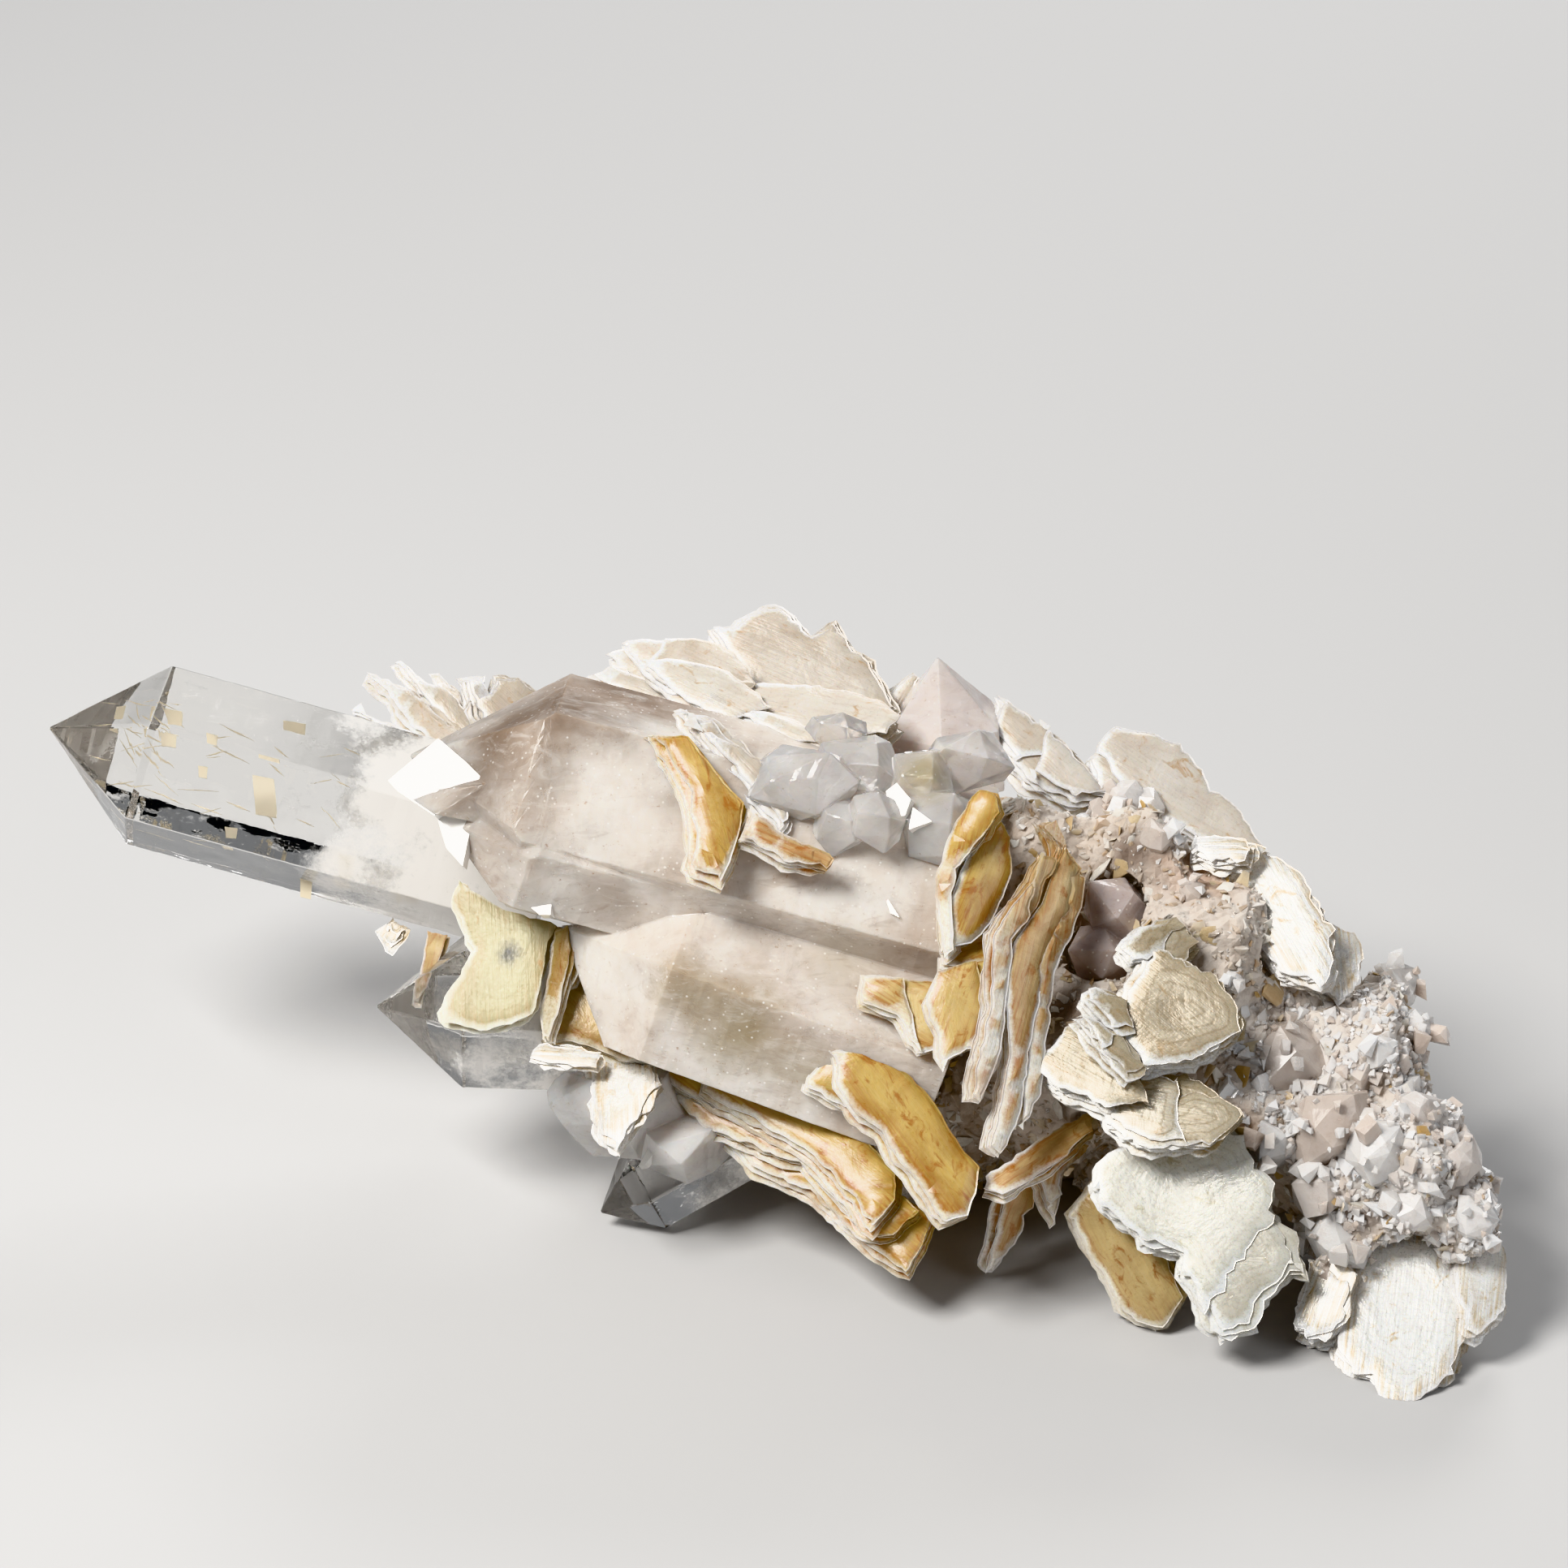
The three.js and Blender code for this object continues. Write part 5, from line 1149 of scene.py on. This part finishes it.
# The crust's solid remade from small cubes, and its points moved so that its skin is lumpy.
def lumpyCrust():
    body = worldMesh("quartz_crust")
    mesh = bpy.data.meshes.new("crust_rough")
    body.to_mesh(mesh)
    body.free()
    rough = bpy.data.objects.new("crust_rough", mesh)
    bpy.context.scene.collection.objects.link(rough)
    remesh = rough.modifiers.new("remesh", "REMESH")
    remesh.mode = "VOXEL"
    remesh.voxel_size = crustLook["cube"]
    solid = bpy.data.meshes.new_from_object(rough.evaluated_get(bpy.context.evaluated_depsgraph_get()))
    bpy.data.objects.remove(rough)
    points = []
    for vert in solid.vertices:
        cellular = noise.voronoi(vert.co * 0.28)[0]
        lump = (cellular[1] - cellular[0]) * 1.2 - 0.8
        fine = noise.fractal(vert.co * 0.7, 0.8, 2.1, 3)
        spot = vert.co + vert.normal * crustLook["lumpy"] * (0.6 * lump + 0.4 * fine - 0.35)
        if vert.co.z < crustFoot + 0.6:  # the flat feet stay flat
            spot = vert.co.copy()
        points.append(spot)
    return solid, points


# Grains and flakes over the crust, closer and clearer in the sugar patches.
def strewnOver(solid, points, chance):
    areas = np.cumsum([face.area for face in solid.polygons])
    centres = [(surfaceAt("quartz_crust", *at), reach) for at, reach in crustPatches["sugar"][1]]
    grains, flakes, sugar = [], [], []
    wanted = strewing["grains"] // 1
    flakesWanted = wanted * strewing["flakes"] / strewing["grains"]
    while len(grains) + len(sugar) < wanted:
        face = solid.polygons[int(np.searchsorted(areas, chance.random() * areas[-1]))]
        corners = [points[i] for i in face.vertices]
        spot = sum(corners, Vector()) / len(corners)
        if spot.z < crustFoot + strewing["footFree"]:
            continue
        near = any((spot - centre).length < reach for centre, reach in centres)
        if not near and chance.random() < strewing["bare"]:
            continue
        place = "Inside" if near else "Outside"
        size = min(strewing["most"], strewing["least"] + chance.expovariate(strewing["rare" + place]))
        turn = Vector([chance.gauss(0, 1) for _ in range(4)]).normalized()
        if len(flakes) < flakesWanted and chance.random() < strewing["flakes" + place]:
            lean = Vector([part + chance.gauss(0, strewing["flakeLean"]) for part in face.normal])
            tilt = turnedTo(lean.normalized(), "Y")
            flakes.append((spot, tilt, size * 1.5 + 0.5, chance.randrange(shapeCounts["flakes"]),
                           chance.random()))
            continue
        flat = chance.random() < strewing["flat"]
        spun = turnedTo(face.normal, "Y") if flat else turnedTo(Vector(turn[:3]).normalized())
        kind = sugar if near and chance.random() < strewing["clearInside"] else grains
        sunk = spot - face.normal * size * strewing["sunk"]
        kind.append((sunk, spun, size, chance.randrange(shapeCounts["blocks"]), chance.random()))
    return grains, flakes, sugar


# The clear grains that crowd around each lump: how many for each mm of its radius, how far out as a
# share of it, their least radius, how much more it may be, and how quickly large ones get rare.
crowding = {"count": 2.2, "out": 0.9, "least": 0.35, "more": 1.2, "rare": 3}


# The clear lumps, sunk in the crust by nearly half, and the grains around them.
def lumpsAndCrowds(chance):
    lumps, crowds = [], []
    inwards = -heading(0, 0, 1)
    for at, size in sugarLumps:
        spot = surfaceAt("quartz_crust", *at) + inwards * size * 0.45
        turn = turnedTo(anyWay(chance))
        lumps.append((spot, turn, size, chance.randrange(shapeCounts["boulders"]), chance.random()))
        for _ in range(round(size * crowding["count"])):
            aside = anyWay(chance) * size * crowding["out"]
            if aside.dot(inwards) > 0:
                aside = -aside
            reach = crowding["least"] + min(crowding["more"], chance.expovariate(crowding["rare"]))
            shape = chance.randrange(shapeCounts["blocks"])
            crowds.append((spot + aside, turnedTo(aside), reach, shape, chance.random()))
    return lumps, crowds


def buildCrust():
    chance = random.Random(23)
    solid, points = lumpyCrust()
    faces = [tuple(face.vertices) for face in solid.polygons]
    material = crustMaterial("crust", crustLook["rough"])
    makePiece("quartz_crust", "quartz_crust", points, faces, material)
    rounded = [grainShape(chance, 0.75) for _ in range(shapeCounts["grains"])]
    blocks = [grainShape(chance, 1.0, 8) for _ in range(shapeCounts["blocks"])]
    boulders = [grainShape(chance, 0.9, 34) for _ in range(shapeCounts["boulders"])]
    thin = [grainShape(chance, 0.13) for _ in range(shapeCounts["flakes"])]
    grains, flakes, sugar = strewnOver(solid, points, chance)
    lumps, crowds = lumpsAndCrowds(chance)
    strewn("crust_lumps", boulders, lumps)
    strewn("crust_sugar", blocks, sugar + crowds)
    strewn("crust_grains", rounded, grains)
    strewn("crust_flakes", thin, flakes)
    print("crust built with", len(grains) + len(sugar) + len(crowds), "grains and", len(flakes), "flakes")


# The studio: a pale floor, a big soft lamp up front on the left, a fill and a rim lamp. Lengths are in
# metres, the lamps' power in watts.
studio = {
    "view": "Khronos PBR Neutral",
    "floor": (0.52, 0.515, 0.51), "floorSide": 3.2, "world": 0.20, "worldColour": (0.92, 0.95, 1.0),
    "lamps": [
        {"from": (-0.50, -0.36, 0.80), "far": 0.75, "size": 0.30, "power": 8.4, "colour": (1.0, 0.985, 0.96)},
        {"from": (0.80, -0.55, 0.45), "far": 0.80, "size": 0.40, "power": 1.0, "colour": (0.95, 0.97, 1.0)},
        {"from": (0.25, 0.85, 0.60), "far": 0.80, "size": 0.30, "power": 3.0, "colour": (1.0, 1.0, 1.0)},
    ],
}


def buildStudio():
    side = studio["floorSide"] / 2
    mesh = bpy.data.meshes.new("floor")
    corners = [(-side, -side, 0), (side, -side, 0), (side, side, 0), (-side, side, 0)]
    mesh.from_pydata(corners, [], [(0, 1, 2, 3)])
    floor = bpy.data.objects.new("floor", mesh)
    bpy.context.scene.collection.objects.link(floor)
    shader = Shader("floor")
    mesh.materials.append(shader.finish(Base_Color=studio["floor"], Roughness=0.9))
    floor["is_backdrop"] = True
    world = bpy.data.worlds.new("studio")
    bpy.context.scene.world = world
    world.use_nodes = True
    bpy.context.scene.view_settings.view_transform = studio["view"]
    sky = world.node_tree.nodes["Background"]
    sky.inputs["Color"].default_value = (*studio["worldColour"], 1)
    sky.inputs["Strength"].default_value = studio["world"]
    aim = Vector(sheet["middle"]) * mm
    for number, look in enumerate(studio["lamps"]):
        lamp = bpy.data.lights.new("lamp_%d" % number, "AREA")
        lamp.shape = "SQUARE"
        lamp.size = look["size"]
        lamp.energy = look["power"]
        lamp.color = look["colour"]
        holder = bpy.data.objects.new("lamp_%d" % number, lamp)
        bpy.context.scene.collection.objects.link(holder)
        direction = Vector(look["from"]).normalized()
        holder.location = aim + direction * look["far"]
        holder.rotation_euler = direction.to_track_quat("Z", "Y").to_euler()
    camera = bpy.data.cameras.new("camera")
    camera.sensor_width = 36
    camera.lens = 36 * sheet["viewing"] / sheet["side"]
    view = bpy.data.objects.new("camera", camera)
    bpy.context.scene.collection.objects.link(view)
    view.location = aim + heading(0, 0, sheet["viewing"]) * mm
    view.rotation_euler = (math.radians(90 - sheet["leanDeg"]), 0, 0)
    bpy.context.scene.camera = view
    print("studio set")


buildQuartz()
buildFacets()
buildMica()
buildCrust()
buildStudio()
bpy.context.view_layer.update()
counts = {piece.name: sum(len(face.vertices) - 2 for face in piece.data.polygons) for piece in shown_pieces()}
print("triangles", sum(counts.values()), "most in one piece", max(counts.values()))
